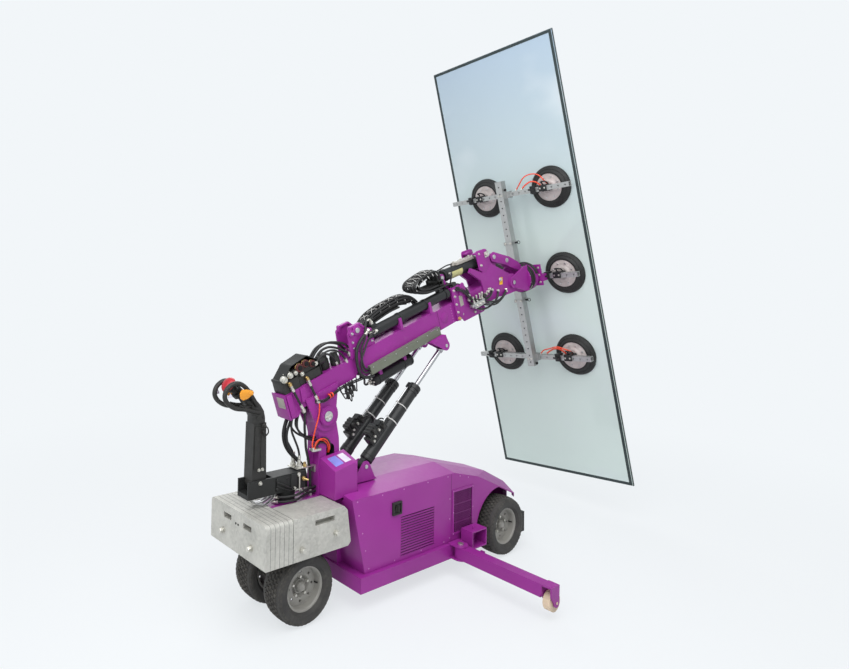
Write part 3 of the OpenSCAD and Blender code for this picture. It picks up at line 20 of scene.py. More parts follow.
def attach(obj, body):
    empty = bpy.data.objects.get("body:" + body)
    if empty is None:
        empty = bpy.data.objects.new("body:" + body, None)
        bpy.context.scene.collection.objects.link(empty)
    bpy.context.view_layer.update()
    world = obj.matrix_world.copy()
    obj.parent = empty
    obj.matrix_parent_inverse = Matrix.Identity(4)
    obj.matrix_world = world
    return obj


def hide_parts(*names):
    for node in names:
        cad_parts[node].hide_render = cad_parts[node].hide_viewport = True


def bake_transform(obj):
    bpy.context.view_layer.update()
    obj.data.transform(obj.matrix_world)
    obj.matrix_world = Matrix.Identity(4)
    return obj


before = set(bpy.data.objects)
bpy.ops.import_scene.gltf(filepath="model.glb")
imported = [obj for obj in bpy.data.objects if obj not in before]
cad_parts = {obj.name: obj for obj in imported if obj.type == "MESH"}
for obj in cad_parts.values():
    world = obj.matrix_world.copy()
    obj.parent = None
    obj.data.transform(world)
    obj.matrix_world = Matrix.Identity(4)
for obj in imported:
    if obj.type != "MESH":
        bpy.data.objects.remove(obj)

log = logging.getLogger("lifter")
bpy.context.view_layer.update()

Point = tuple[float, float, float]
Flat = tuple[float, float]
Colour = tuple[float, float, float]
MM = 0.001


# Places


@dataclass(frozen=True)
class Stance:
    """How the machine stands in the CAD frame at rest, in millimetres and degrees."""

    mid_x: float = 1317.151
    boom_angle: float = 19.0
    pivot: Flat = (255.0, 1108.0)
    ram_foot: Flat = (526.0, 772.0)
    ram_angle: float = 43.0
    ram_y: float = 100.0
    tilt_root: Flat = (1308.0, 449.0)
    tilt_angle: float = -2.895
    face: Flat = (2681.8, 2032.8)
    lean: float = 12.29
    roll: float = -3.91

    def machine(self) -> Matrix:
        """Frame of the chassis: x from the rear axle, z from the ground."""
        return Matrix.Scale(MM, 4) @ Matrix.Translation((-self.mid_x, 0, 0))

    def boom(self) -> Matrix:
        """Frame of the boom: x along it from the pivot, z square to it."""
        place = Matrix.Translation((self.pivot[0], 0, self.pivot[1]))
        return self.machine() @ place @ Matrix.Rotation(math.radians(-self.boom_angle), 4, "Y")

    def ram(self, side: int) -> Matrix:
        """Frame of a luffing ram: x along it from the lower pin.

        Args:
            side: 1 for the left ram, -1 for the right one.
        """
        place = Matrix.Translation((self.ram_foot[0], side * self.ram_y, self.ram_foot[1]))
        return self.machine() @ place @ Matrix.Rotation(math.radians(-self.ram_angle), 4, "Y")

    def tilt(self) -> Matrix:
        """Frame of the tilt cylinder: x along it from its rear pin."""
        place = Matrix.Translation((self.tilt_root[0], 0, self.tilt_root[1]))
        return self.boom() @ place @ Matrix.Rotation(math.radians(-self.tilt_angle), 4, "Y")

    def slew(self) -> Matrix:
        """Frame of the head: x along the slewing axis, 0 at the pane's rear face."""
        place = Matrix.Translation((self.face[0], 0, self.face[1]))
        return self.machine() @ place @ Matrix.Rotation(math.radians(-self.lean), 4, "Y")

    def vacuum(self) -> Matrix:
        """Frame of the vacuum frame: as the head's, turned in the pane's plane."""
        return self.slew() @ Matrix.Rotation(math.radians(self.roll), 4, "X")


STANCE = Stance()


# Finishes


class Recipe:
    """A node material in the making, with short ways to add the nodes that the finishes share."""

    def __init__(self, name: str, edge: float = 1.2) -> None:
        """Starts a material with a Principled shader whose edges read as slightly rounded.

        Args:
            name: the material's name.
            edge: the radius that its edges look rounded by, in millimetres.
        """
        self.material = bpy.data.materials.new(name)
        self.material.use_nodes = True
        self.tree = self.material.node_tree
        self.shader = self.tree.nodes["Principled BSDF"]
        self.place = self.node("ShaderNodeTexCoord").outputs["Object"]
        rounded = self.node("ShaderNodeBevel")
        rounded.samples = 4
        rounded.inputs["Radius"].default_value = edge * MM
        self.rounded = rounded.outputs["Normal"]

    def node(self, kind: str) -> bpy.types.Node:
        """Adds a node of this kind."""
        return self.tree.nodes.new(kind)

    def link(self, source: bpy.types.NodeSocket, target: bpy.types.NodeSocket) -> None:
        """Joins two sockets."""
        self.tree.links.new(source, target)

    def stretched(self, scale: Point) -> bpy.types.NodeSocket:
        """The object's place with each axis scaled, for streaks and brushed grain.

        Args:
            scale: the factor along each axis.

        Returns:
            The scaled place's socket.
        """
        mapping = self.node("ShaderNodeMapping")
        mapping.inputs["Scale"].default_value = scale
        self.link(self.place, mapping.inputs["Vector"])
        return mapping.outputs["Vector"]

    def noise(self, scale: float, detail: float = 3.0, rough: float = 0.5,
              vector: Optional[bpy.types.NodeSocket] = None) -> bpy.types.NodeSocket:
        """Noise over the object.

        Args:
            scale: patches per metre, roughly.
            detail: how many finer octaves are added.
            rough: how strong the finer octaves are.
            vector: the place to read, or None for the object's own.

        Returns:
            The noise value's socket.
        """
        texture = self.node("ShaderNodeTexNoise")
        texture.inputs["Scale"].default_value = scale
        texture.inputs["Detail"].default_value = detail
        texture.inputs["Roughness"].default_value = rough
        self.link(vector or self.place, texture.inputs["Vector"])
        return texture.outputs["Fac"]

    def cells(self, scale: float) -> bpy.types.NodeSocket:
        """Voronoi cells' random colour, as a grey value.

        Args:
            scale: cells per metre, roughly.

        Returns:
            The colour's socket.
        """
        texture = self.node("ShaderNodeTexVoronoi")
        texture.inputs["Scale"].default_value = scale
        self.link(self.place, texture.inputs["Vector"])
        return texture.outputs["Color"]

    def ramp(self, value: bpy.types.NodeSocket, stops: Sequence[tuple[float,
                                                                      Colour]]) -> bpy.types.NodeSocket:
        """Colours a value by stops of (position, colour).

        Args:
            value: the value's socket.
            stops: the colours, from the lowest position.

        Returns:
            The colour's socket.
        """
        ramp = self.node("ShaderNodeValToRGB")
        ramp.color_ramp.elements[0].position = stops[0][0]
        ramp.color_ramp.elements[0].color = (*stops[0][1], 1)
        ramp.color_ramp.elements[1].position = stops[-1][0]
        ramp.color_ramp.elements[1].color = (*stops[-1][1], 1)
        for position, colour in stops[1:-1]:
            ramp.color_ramp.elements.new(position).color = (*colour, 1)
        self.link(value, ramp.inputs["Fac"])
        return ramp.outputs["Color"]

    def blend(self, factor: bpy.types.NodeSocket, low: bpy.types.NodeSocket,
              high: bpy.types.NodeSocket) -> bpy.types.NodeSocket:
        """Mixes two colours by a factor.

        Args:
            factor: 0 for the low colour, 1 for the high one.
            low: the low colour.
            high: the high colour.

        Returns:
            The mixed colour's socket.
        """
        mix = self.node("ShaderNodeMix")
        mix.data_type = "RGBA"
        self.link(factor, mix.inputs[0])
        self.link(low, mix.inputs[6])
        self.link(high, mix.inputs[7])
        return mix.outputs[2]

    def span(self, value: bpy.types.NodeSocket, low: float, high: float,
             start: float = 0.0, stop: float = 1.0) -> bpy.types.NodeSocket:
        """Maps a value from start..stop to low..high.

        Args:
            value: the value's socket.
            low: the result at start.
            high: the result at stop.
            start: where the value's range begins.
            stop: where it ends.

        Returns:
            The result's socket.
        """
        span = self.node("ShaderNodeMapRange")
        for name, number in (("From Min", start), ("From Max", stop), ("To Min", low), ("To Max", high)):
            span.inputs[name].default_value = number
        self.link(value, span.inputs["Value"])
        return span.outputs["Result"]

    def edges(self, strength: float) -> bpy.types.NodeSocket:
        """Mask of the edges, where the rounded normal leaves the true one, for paler colour there that is
        partly wear and partly painted highlight.

        Args:
            strength: the mask's value on a square edge.
        """
        true = self.node("ShaderNodeNewGeometry")
        dot = self.node("ShaderNodeVectorMath")
        dot.operation = "DOT_PRODUCT"
        self.link(self.rounded, dot.inputs[0])
        self.link(true.outputs["Normal"], dot.inputs[1])
        return self.span(dot.outputs["Value"], strength, 0.0, 0.72, 0.985)

    def height(self, value: bpy.types.NodeSocket, strength: float, depth: float) -> None:
        """Raises the surface by a value.

        Args:
            value: the height's socket.
            strength: share of the effect.
            depth: height of the relief in metres.
        """
        bump = self.node("ShaderNodeBump")
        bump.inputs["Strength"].default_value = strength
        bump.inputs["Distance"].default_value = depth
        self.link(value, bump.inputs["Height"])
        self.link(self.rounded, bump.inputs["Normal"])
        self.link(bump.outputs["Normal"], self.shader.inputs["Normal"])

    def set(self, **numbers: float) -> None:
        """Sets the shader's own sockets, with _ for a space in their names."""
        for name, number in numbers.items():
            self.shader.inputs[name.replace("_", " ")].default_value = number


def shade(colour: Colour, gain: float) -> Colour:
    """The colour made lighter or darker by a gain."""
    return tuple(min(1.0, channel * gain) for channel in colour)


@dataclass(frozen=True)
class GlossPaint:
    """Sprayed gloss paint with faint orange peel, fine dust, a few scuffs, and edges made paler, partly as
    rubbed wear and partly as painted highlight.
    """

    name: str
    colour: Colour
    rough: float = 0.4
    coat: float = 0.1
    scuff: float = 0.35
    edge: float = 1.6

    def make(self) -> bpy.types.Material:
        """Builds the material."""
        mix = Recipe(self.name, self.edge)
        cloud = mix.ramp(mix.noise(2.4, 4), [(0.3, shade(self.colour, 0.9)), (0.7, shade(self.colour, 1.08))])
        pale = tuple(0.6 * channel + 0.16 for channel in self.colour)
        scuffed = mix.ramp(mix.noise(40, 6, 0.75), [(0.0, self.colour), (1.0, pale)])
        mask = mix.span(mix.noise(7, 8, 0.72), 0.0, self.scuff, 0.6, 0.78)
        # Paler paint at the edges: partly rubbed wear, partly painted highlight.
        edge_wear_and_highlight = mix.ramp(mix.noise(60, 4), [(0.3, shade(self.colour, 1.25)), (0.7, pale)])
        painted = mix.blend(mask, cloud, scuffed)
        mix.link(mix.blend(mix.edges(0.5), painted, edge_wear_and_highlight), mix.shader.inputs["Base Color"])
        mix.link(mix.span(mix.noise(30, 5), self.rough - 0.05, self.rough + 0.12),
                 mix.shader.inputs["Roughness"])
        mix.height(mix.noise(420, 2), 0.06, 0.0004)
        mix.set(Coat_Weight=self.coat, Coat_Roughness=0.2, Specular_IOR_Level=0.3)
        return mix.material


@dataclass(frozen=True)
class Galvanised:
    """Hot dip zinc on thick plate: grey spangle, runs and pale bloom, with edges made brighter, partly as
    wear and partly as painted highlight.
    """

    name: str
    colour: Colour

    def make(self) -> bpy.types.Material:
        """Builds the material."""
        mix = Recipe(self.name, 2.6)
        bloom = mix.ramp(mix.noise(5, 8, 0.7), [
            (0.28, shade(self.colour, 0.62)), (0.46, self.colour), (0.62, shade(self.colour, 1.22)),
            (0.74, shade(self.colour, 0.86)),
        ])
        spangle = mix.ramp(mix.cells(70), [(0.1, shade(self.colour, 0.82)), (0.9, shade(self.colour, 1.16))])
        runs = mix.noise(9, 5, 0.65, mix.stretched((1.0, 1.0, 0.22)))
        half = mix.span(runs, 0.15, 0.75, 0.35, 0.65)
        # Brighter zinc at the edges: partly wear, partly painted highlight.
        edge_highlight_and_wear = mix.ramp(runs, [(0.0, shade(self.colour, 1.3)), (1.0, shade(self.colour, 1.5))])
        mix.link(mix.blend(mix.edges(0.7), mix.blend(half, bloom, spangle), edge_highlight_and_wear),
                 mix.shader.inputs["Base Color"])
        mix.link(mix.span(mix.noise(26, 6), 0.38, 0.68), mix.shader.inputs["Roughness"])
        mix.height(mix.noise(55, 6, 0.6), 0.22, 0.0012)
        mix.set(Metallic=0.35)
        return mix.material


@dataclass(frozen=True)
class BareMetal:
    """Turned, drawn or plated metal with fine grain."""

    name: str
    colour: Colour
    rough: float = 0.28
    metallic: float = 1.0
    grain: Point = (1.0, 1.0, 1.0)

    def make(self) -> bpy.types.Material:
        """Builds the material."""
        mix = Recipe(self.name)
        streak = mix.noise(60, 4, 0.6, mix.stretched(self.grain))
        mix.link(mix.ramp(streak, [(0.3, shade(self.colour, 0.82)), (0.7, shade(self.colour, 1.1))]),
                 mix.shader.inputs["Base Color"])
        mix.link(mix.span(streak, self.rough - 0.06, self.rough + 0.12), mix.shader.inputs["Roughness"])
        mix.height(streak, 0.05, 0.0003)
        mix.set(Metallic=self.metallic)
        return mix.material


@dataclass(frozen=True)
class Moulded:
    """Rubber or plastic: even colour with fine grain and a little dust."""

    name: str
    colour: Colour
    rough: float = 0.55
    dust: float = 0.2
    dust_colour: Colour = (0.16, 0.15, 0.13)
    grain: float = 380.0

    def make(self) -> bpy.types.Material:
        """Builds the material."""
        mix = Recipe(self.name)
        plain = mix.ramp(mix.noise(14, 4), [(0.3, shade(self.colour, 0.85)), (0.7, shade(self.colour, 1.2))])
        dusty = mix.ramp(mix.noise(80, 5), [(0.2, self.colour), (0.9, self.dust_colour)])
        mask = mix.span(mix.noise(11, 7, 0.7), 0.0, self.dust, 0.45, 0.75)
        mix.link(mix.blend(mask, plain, dusty), mix.shader.inputs["Base Color"])
        mix.link(mix.span(mix.noise(45, 5), self.rough - 0.08, self.rough + 0.12),
                 mix.shader.inputs["Roughness"])
        mix.height(mix.noise(self.grain, 3), 0.12, 0.0004)
        mix.set(Specular_IOR_Level=0.35)
        return mix.material


@dataclass(frozen=True)
class GlassWithPaintedReflection:
    """Coated facade glass, its greenish tint carrying a painted reflection: lighter towards the bottom,
    cooler towards the top, with soft painted clouds.
    """

    name: str
    low: Colour
    high: Colour
    cloud: Colour

    def make(self) -> bpy.types.Material:
        """Builds the material."""
        mix = Recipe(self.name, 0.3)
        axes = mix.node("ShaderNodeSeparateXYZ")
        mix.link(mix.place, axes.inputs["Vector"])
        climb = mix.span(axes.outputs["Z"], 0.0, 1.0, 0.3, 3.9)
        # Painted reflection in the base colour: graded up the pane from the low to the high colour, with
        # painted clouds mixed in.
        painted_sky_reflection = mix.ramp(climb, [(0.0, self.low), (0.55, shade(self.low, 0.93)), (1.0, self.high)])
        painted_cloud_reflection = mix.ramp(mix.noise(0.9, 4, 0.5), [(0.0, self.cloud), (1.0, shade(self.cloud, 1.05))])
        mask = mix.span(mix.noise(1.1, 3, 0.45, mix.stretched((0.6, 1.0, 1.5))), 0.0, 0.75, 0.52, 0.72)
        mix.link(mix.blend(mask, painted_sky_reflection, painted_cloud_reflection), mix.shader.inputs["Base Color"])
        mix.set(Roughness=0.06, Alpha=0.9, Specular_IOR_Level=0.6)
        return mix.material


class Finish(Enum):
    """Every finish on the machine, each with its recipe."""

    PURPLE = GlossPaint("purple_paint", (0.285, 0.022, 0.262))
    PURPLE_SHEET = GlossPaint("purple_sheet_paint", (0.30, 0.026, 0.275), rough=0.36, coat=0.12, scuff=0.15)
    # Screw heads: the panels' purple made lighter as painted highlight.
    SCREW_PAINT_AND_HIGHLIGHT = GlossPaint("screw_paint_with_painted_highlight", (0.52, 0.20, 0.50), rough=0.35, scuff=0.1, edge=0.6)
    SEAM = GlossPaint("shut_line", (0.10, 0.008, 0.09), rough=0.6, coat=0.0, scuff=0.0)
    # Mesh screens: the panels' purple darkened as painted shade.
    MESH = GlossPaint("mesh_purple_with_painted_shade", (0.17, 0.02, 0.155), rough=0.5, coat=0.1, scuff=0.1, edge=0.4)
    BLACK = GlossPaint("black_paint", (0.014, 0.015, 0.016), rough=0.36, coat=0.1, scuff=0.12)
    SATIN_BLACK = GlossPaint("satin_black_paint", (0.020, 0.021, 0.021), rough=0.5, coat=0.0, scuff=0.25)
    GREEN = GlossPaint("worn_green_paint", (0.150, 0.165, 0.130), rough=0.55, coat=0.0, scuff=1.0)
    SILVER = GlossPaint("silver_rim_paint", (0.27, 0.265, 0.245), rough=0.42, coat=0.1, scuff=0.8)
    ZINC = Galvanised("galvanised_plate", (0.475, 0.472, 0.438))
    ZINC_GAP = Moulded("stack_gap", (0.10, 0.11, 0.10), rough=0.7, dust=0.1)
    PLATED = BareMetal("zinc_plated_steel", (0.62, 0.61, 0.56), rough=0.36, metallic=0.9)
    STEEL = BareMetal("turned_steel", (0.56, 0.56, 0.57), rough=0.3)
    CHROME = BareMetal("chromed_rod", (0.46, 0.46, 0.48), rough=0.2, grain=(1, 1, 0.1))
    ALUMINIUM = BareMetal("drawn_aluminium", (0.47, 0.48, 0.475), rough=0.42, metallic=0.85,
                          grain=(4, 4, 0.3))
    BRASS = BareMetal("brass_fitting", (0.66, 0.47, 0.20), rough=0.3)
    TREAD = Moulded("tyre_rubber", (0.050, 0.047, 0.043), rough=0.78, dust=0.75,
                    dust_colour=(0.17, 0.16, 0.14))
    WALL = Moulded("tyre_wall_rubber", (0.036, 0.035, 0.034), rough=0.62, dust=0.5)
    RUBBER = Moulded("cup_rubber", (0.018, 0.019, 0.019), rough=0.5, dust=0.15)
    HOSE = Moulded("hose_cover", (0.016, 0.016, 0.017), rough=0.42, dust=0.2, grain=900)
    WRAP = Moulded("pale_spiral_wrap", (0.48, 0.48, 0.47), rough=0.5, dust=0.2)
    RED_HOSE = Moulded("red_air_hose", (0.78, 0.075, 0.030), rough=0.32, dust=0.0)
    PLASTIC = Moulded("black_moulding", (0.020, 0.020, 0.019), rough=0.46, dust=0.22)
    # Near-black: the own colour of a few small black parts, and painted shade in openings and recesses.
    DARK = Moulded("near_black_and_painted_shade", (0.006, 0.006, 0.007), rough=0.8, dust=0.0)
    COIL = Moulded("dark_red_coil", (0.090, 0.022, 0.022), rough=0.45, dust=0.1)
    BUTTON = Moulded("red_cap", (0.42, 0.016, 0.028), rough=0.26, dust=0.1)
    AMBER = Moulded("amber_rocker", (0.72, 0.30, 0.030), rough=0.3, dust=0.05)
    NYLON = Moulded("cast_nylon", (0.62, 0.50, 0.36), rough=0.5, dust=0.3)
    PLATE = Moulded("pale_cup_plate", (0.50, 0.45, 0.44), rough=0.35, dust=0.1, dust_colour=(0.4, 0.38, 0.37))
    GREY_LABEL = Moulded("blank_grey_plate", (0.34, 0.32, 0.29), rough=0.4, dust=0.1)
    YELLOW_LABEL = Moulded("blank_yellow_patch", (0.80, 0.42, 0.03), rough=0.4, dust=0.05)
    STRAW_LABEL = Moulded("blank_straw_patch", (0.50, 0.48, 0.22), rough=0.4, dust=0.1)
    BLUE_LABEL = Moulded("blank_blue_patch", (0.22, 0.24, 0.68), rough=0.35, dust=0.05)
    WHITE_LABEL = Moulded("blank_white_patch", (0.62, 0.60, 0.72), rough=0.35, dust=0.05)
    # Glass: its tint with the low and high ends and the clouds of the painted reflection.
    GLASS = GlassWithPaintedReflection("coated_glass_painted_reflection", (0.70, 0.82, 0.79), (0.44, 0.56, 0.68), (0.68, 0.76, 0.80))
    EDGE = Moulded("dark_edge_seal", (0.030, 0.044, 0.046), rough=0.4, dust=0.0)


class Palette:
    """Makes each finish once, when a piece first asks for it."""

    made: dict[Finish, bpy.types.Material] = {}

    @classmethod
    def get(cls, finish: Finish) -> bpy.types.Material:
        """The material of a finish."""
        if finish not in cls.made:
            cls.made[finish] = finish.value.make()
        return cls.made[finish]


# Mesh making


def smooth_route(points: Sequence[Point], steps: int = 4) -> list[Vector]:
    """A smooth curve through the points of a route.

    Args:
        points: the route, in millimetres.
        steps: points made per stretch.

    Returns:
        The curve's points.
    """
    p = [Vector(point) for point in points]
    curve = []
    for i in range(len(p) - 1):
        a, b, c, d = p[max(0, i - 1)], p[i], p[i + 1], p[min(len(p) - 1, i + 2)]
        for j in range(steps):
            t = j / steps
            curve.append(0.5 * (2 * b + (c - a) * t + (2 * a - 5 * b + 4 * c - d) * t * t
                                + (3 * b - 3 * c + d - a) * t ** 3))
    curve.append(p[-1])
    return curve


def arc(centre: Flat, radius: float, start: float, stop: float, steps: int = 8) -> list[Flat]:
    """Points on an arc, from start to stop in degrees."""
    return [
        (centre[0] + radius * math.cos(math.radians(start + (stop - start) * i / steps)),
         centre[1] + radius * math.sin(math.radians(start + (stop - start) * i / steps)))
        for i in range(steps + 1)
    ]


class Workpiece:
    """A piece in the making: solids are added in a frame's millimetres, then finished into one object."""

    def __init__(self, name: str, place: Matrix, finish: Finish) -> None:
        """Starts an empty piece.

        Args:
            name: the object's name.
            place: the frame that the solids' millimetres are in.
            finish: what the first solids are made of.
        """
        self.name = name
        self.place = place
        self.mesh = bmesh.new()
        self.finishes: list[Finish] = [finish]
        self.current = 0

    def of(self, finish: Finish) -> "Workpiece":
        """Makes the next solids of another finish.

        Args:
            finish: what the next solids are made of.

        Returns:
            This piece.
        """
        if finish not in self.finishes:
            self.finishes.append(finish)
        self.current = self.finishes.index(finish)
        return self

    def _mark(self, faces: Sequence[bmesh.types.BMFace]) -> None:
        """Gives new faces the current finish."""
        for face in faces:
            face.material_index = self.current

    def skin(self, rings: Sequence[Sequence[Vector]], closed: bool = False) -> None:
        """Skins rings of equal count into a closed solid.

        Args:
            rings: the rings of points, in order.
            closed: True where the last ring joins the first.
        """
        made = [[self.mesh.verts.new(point) for point in ring] for ring in rings]
        count = len(made[0])
        pairs = list(zip(made, made[1:])) + ([(made[-1], made[0])] if closed else [])
        faces = []
        for low, high in pairs:
            for k in range(count):
                m = (k + 1) % count
                faces.append(self.mesh.faces.new((low[k], low[m], high[m], high[k])))
        if not closed:
            faces.append(self.mesh.faces.new(list(reversed(made[0]))))
            faces.append(self.mesh.faces.new(made[-1]))
        self._mark(faces)

    def block(self, low: Point, high: Point, bevel: float = 0.0) -> None:
        """A box between two corners, with its edges broken by a bevel.

        Args:
            low: the lowest corner.
            high: the highest corner.
            bevel: break of its edges.
        """
        made = bmesh.ops.create_cube(self.mesh, size=1)["verts"]
        middle = (Vector(low) + Vector(high)) / 2
        size = Vector(high) - Vector(low)
        for vert in made:
            vert.co = Vector([middle[i] + vert.co[i] * size[i] for i in range(3)])
        self._break_edges(made, bevel)

    def _break_edges(self, verts: Sequence[bmesh.types.BMVert], bevel: float) -> None:
        """Bevels the edges of a new solid and gives its faces the current finish.

        Args:
            verts: the solid's corners.
            bevel: width of the break, or 0.
        """
        faces = list({face for vert in verts for face in vert.link_faces})
        self._mark(faces)
        if bevel:
            edges = list({edge for vert in verts for edge in vert.link_edges})
            made = bmesh.ops.bevel(self.mesh, geom=edges, offset=bevel, segments=2, affect="EDGES",
                                   profile=0.6,
                                   clamp_overlap=True)
            self._mark(made["faces"])

    def prism(self, outline: Sequence[Flat], low: float, high: float, axis: str = "y",
              bevel: float = 0.0) -> None:
        """An outline pushed along an axis.

        Args:
            outline: corners in the plane square to the axis, in x, y, z order.
            low: where it starts along the axis.
            high: where it ends.
            axis: x, y or z.
            bevel: break of its edges.
        """
        index = "xyz".index(axis)

        def corner(pair: Flat, depth: float) -> Vector:
            """Puts the depth along the axis between the pair's numbers.

            Args:
                pair: the two numbers in the outline's plane.
                depth: the place along the axis.

            Returns:
                The point.
            """
            spot = list(pair)
            spot.insert(index, depth)
            return Vector(spot)

        first = [self.mesh.verts.new(corner(pair, low)) for pair in outline]
        last = [self.mesh.verts.new(corner(pair, high)) for pair in outline]
        count = len(outline)
        self.mesh.faces.new(first)
        self.mesh.faces.new(list(reversed(last)))
        for k in range(count):
            m = (k + 1) % count
            self.mesh.faces.new((first[k], last[k], last[m], first[m]))
        self._break_edges(first + last, bevel)

    def _ring_of(self, origin: Vector, axis: Vector, along: float, radius: float, sides: int) -> list[Vector]:
        """A ring of points round an axis.

        Args:
            origin: a point on the axis.
            axis: its direction.
            along: distance from the origin.
            radius: the ring's radius.
            sides: how many points.

        Returns:
            The points in order.
        """
        side = axis.orthogonal().normalized()
        other = axis.cross(side)
        return [
            origin + axis * along + radius * (math.cos(2 * math.pi * k / sides) * side
                                              + math.sin(2 * math.pi * k / sides) * other)
            for k in range(sides)
        ]

    def turned(self, start: Point, end: Point, profile: Sequence[Flat], sides: int = 24) -> None:
        """A solid of revolution.

        Args:
            start: origin on the axis.
            end: a point that the axis points to.
            profile: (distance along the axis, radius) from one end to the other.
            sides: facets round it.
        """
        origin = Vector(start)
        axis = (Vector(end) - origin).normalized()
        self.skin([self._ring_of(origin, axis, along, max(radius, 0.02), sides) for along, radius in profile])

    def rod(self, start: Point, end: Point, d: float, sides: int = 20, edge: float = 0.0) -> None:
        """A round bar between two points, with its ends' edges broken.

        Args:
            start: middle of one end.
            end: middle of the other.
            d: its diameter.
            sides: facets round it.
            edge: break of its ends' edges.
        """
        length = (Vector(end) - Vector(start)).length
        r = d / 2
        ends = [(0, r - edge), (edge, r), (length - edge, r), (length, r - edge)] if edge else [(0, r),
                                                                                                (length, r)]
        self.turned(start, end, ends, sides)

    def ring(self, start: Point, end: Point, outer: float, inner: float, sides: int = 28) -> None:
        """A flat ring or sleeve between two points, open through its middle; outer and inner are radii.

        Args:
            start: middle of one end.
            end: middle of the other.
            outer: the outer radius.
            inner: the inner radius.
            sides: facets round it.
        """
        origin = Vector(start)
        axis = (Vector(end) - origin).normalized()
        length = (Vector(end) - origin).length
        section = ((0, inner), (0, outer), (length, outer), (length, inner))
        self.skin([self._ring_of(origin, axis, along, radius, sides) for along, radius in section],
                  closed=True)

    def torus(self, centre: Point, axis: Point, radius: float, d: float, sides: int = 36) -> None:
        """A round ring of round section.

        Args:
            centre: its middle.
            axis: the direction that it goes round.
            radius: to its section's middle.
            d: the section's diameter.
            sides: facets round it.
        """
        up = Vector(axis).normalized()
        side = up.orthogonal().normalized()
        other = up.cross(side)
        rings = []
        for k in range(sides):
            a = 2 * math.pi * k / sides
            out = math.cos(a) * side + math.sin(a) * other
            rings.append([
                Vector(centre) + out * (radius + d / 2 * math.cos(b)) + up * d / 2 * math.sin(b)
                for b in (2 * math.pi * j / 10 for j in range(10))
            ])
        self.skin(rings, closed=True)

    def hose(self, points: Sequence[Point], d: float, steps: int = 5, sides: int = 12,
             flat: float = 1.0) -> None:
        """A hose or bent bar along a smooth route through its points.

        Args:
            points: the route.
            d: its diameter.
            steps: rings per stretch.
            sides: facets round it.
            flat: its thickness as a share of its width.
        """
        curve = smooth_route(points, steps)
        last = len(curve) - 1
        tangents = [(curve[min(i + 1, last)] - curve[max(i - 1, 0)]).normalized() for i in range(last + 1)]
        side = tangents[0].cross(Vector((0, 1, 0))) if abs(tangents[0].y) < 0.95 else Vector((1, 0, 0))
        rings = []
        for spot, tangent in zip(curve, tangents):
            side = (side - tangent * side.dot(tangent)).normalized()
            other = tangent.cross(side)
            rings.append([
                spot + d / 2 * (math.cos(2 * math.pi * k / sides) * side * flat
                                + math.sin(2 * math.pi * k / sides) * other)
                for k in range(sides)
            ])
        self.skin(rings)

    def hexagon(self, start: Point, end: Point, across: float) -> None:
        """A six-sided bar or nut between two points, across is its width over flats.

        Args:
            start: middle of one end.
            end: middle of the other.
            across: width over flats.
        """
        length = (Vector(end) - Vector(start)).length
        r = across / math.sqrt(3)
        self.turned(start, end, [(0, r), (length * 0.8, r), (length, r * 0.9)], 6)

    def bolt(self, spot: Point, outward: Point, size: float) -> None:
        """A hexagon bolt head on its washer.

        Args:
            spot: middle of the washer on the surface.
            outward: direction that the head points to.
            size: the head's width across flats.
        """
        foot = Vector(spot)
        out = Vector(outward).normalized()
        self.rod(tuple(foot), tuple(foot + out * size * 0.12), size * 1.35, 20)
        self.hexagon(tuple(foot + out * size * 0.12), tuple(foot + out * size * 0.62), size)

    def rivet(self, spot: Point, outward: Point, d: float) -> None:
        """A low round head."""
        self.turned(spot, tuple(Vector(spot) + Vector(outward)),
                    [(0, d / 2), (d * 0.16, d * 0.44), (d * 0.26, d * 0.22)], 12)

    def fitting(self, spot: Point, outward: Point, d: float, metal: Finish = Finish.PLATED) -> Point:
        """A hose end: swivel nut, neck and crimped ferrule.

        Args:
            spot: where the nut sits.
            outward: direction that the hose leaves in.
            d: the hose's diameter.
            metal: the nut's and ferrule's finish.

        Returns:
            The point where the hose comes out.
        """
        keep = self.current
        self.of(metal)
        foot = Vector(spot)
        out = Vector(outward).normalized()
        self.hexagon(tuple(foot), tuple(foot + out * d * 0.85), d * 1.35)
        ribs = [(0.8, 0.42), (1.15, 0.42), (1.15, 0.68), (1.5, 0.7), (1.55, 0.64), (1.8, 0.64), (1.85, 0.7),
                (2.2, 0.7),
                (2.25, 0.64), (2.5, 0.64), (2.55, 0.69), (2.75, 0.66)]
        self.turned(spot, tuple(foot + out), [(along * d, radius * d) for along, radius in ribs], 16)
        self.current = keep
        return tuple(foot + out * d * 2.6)

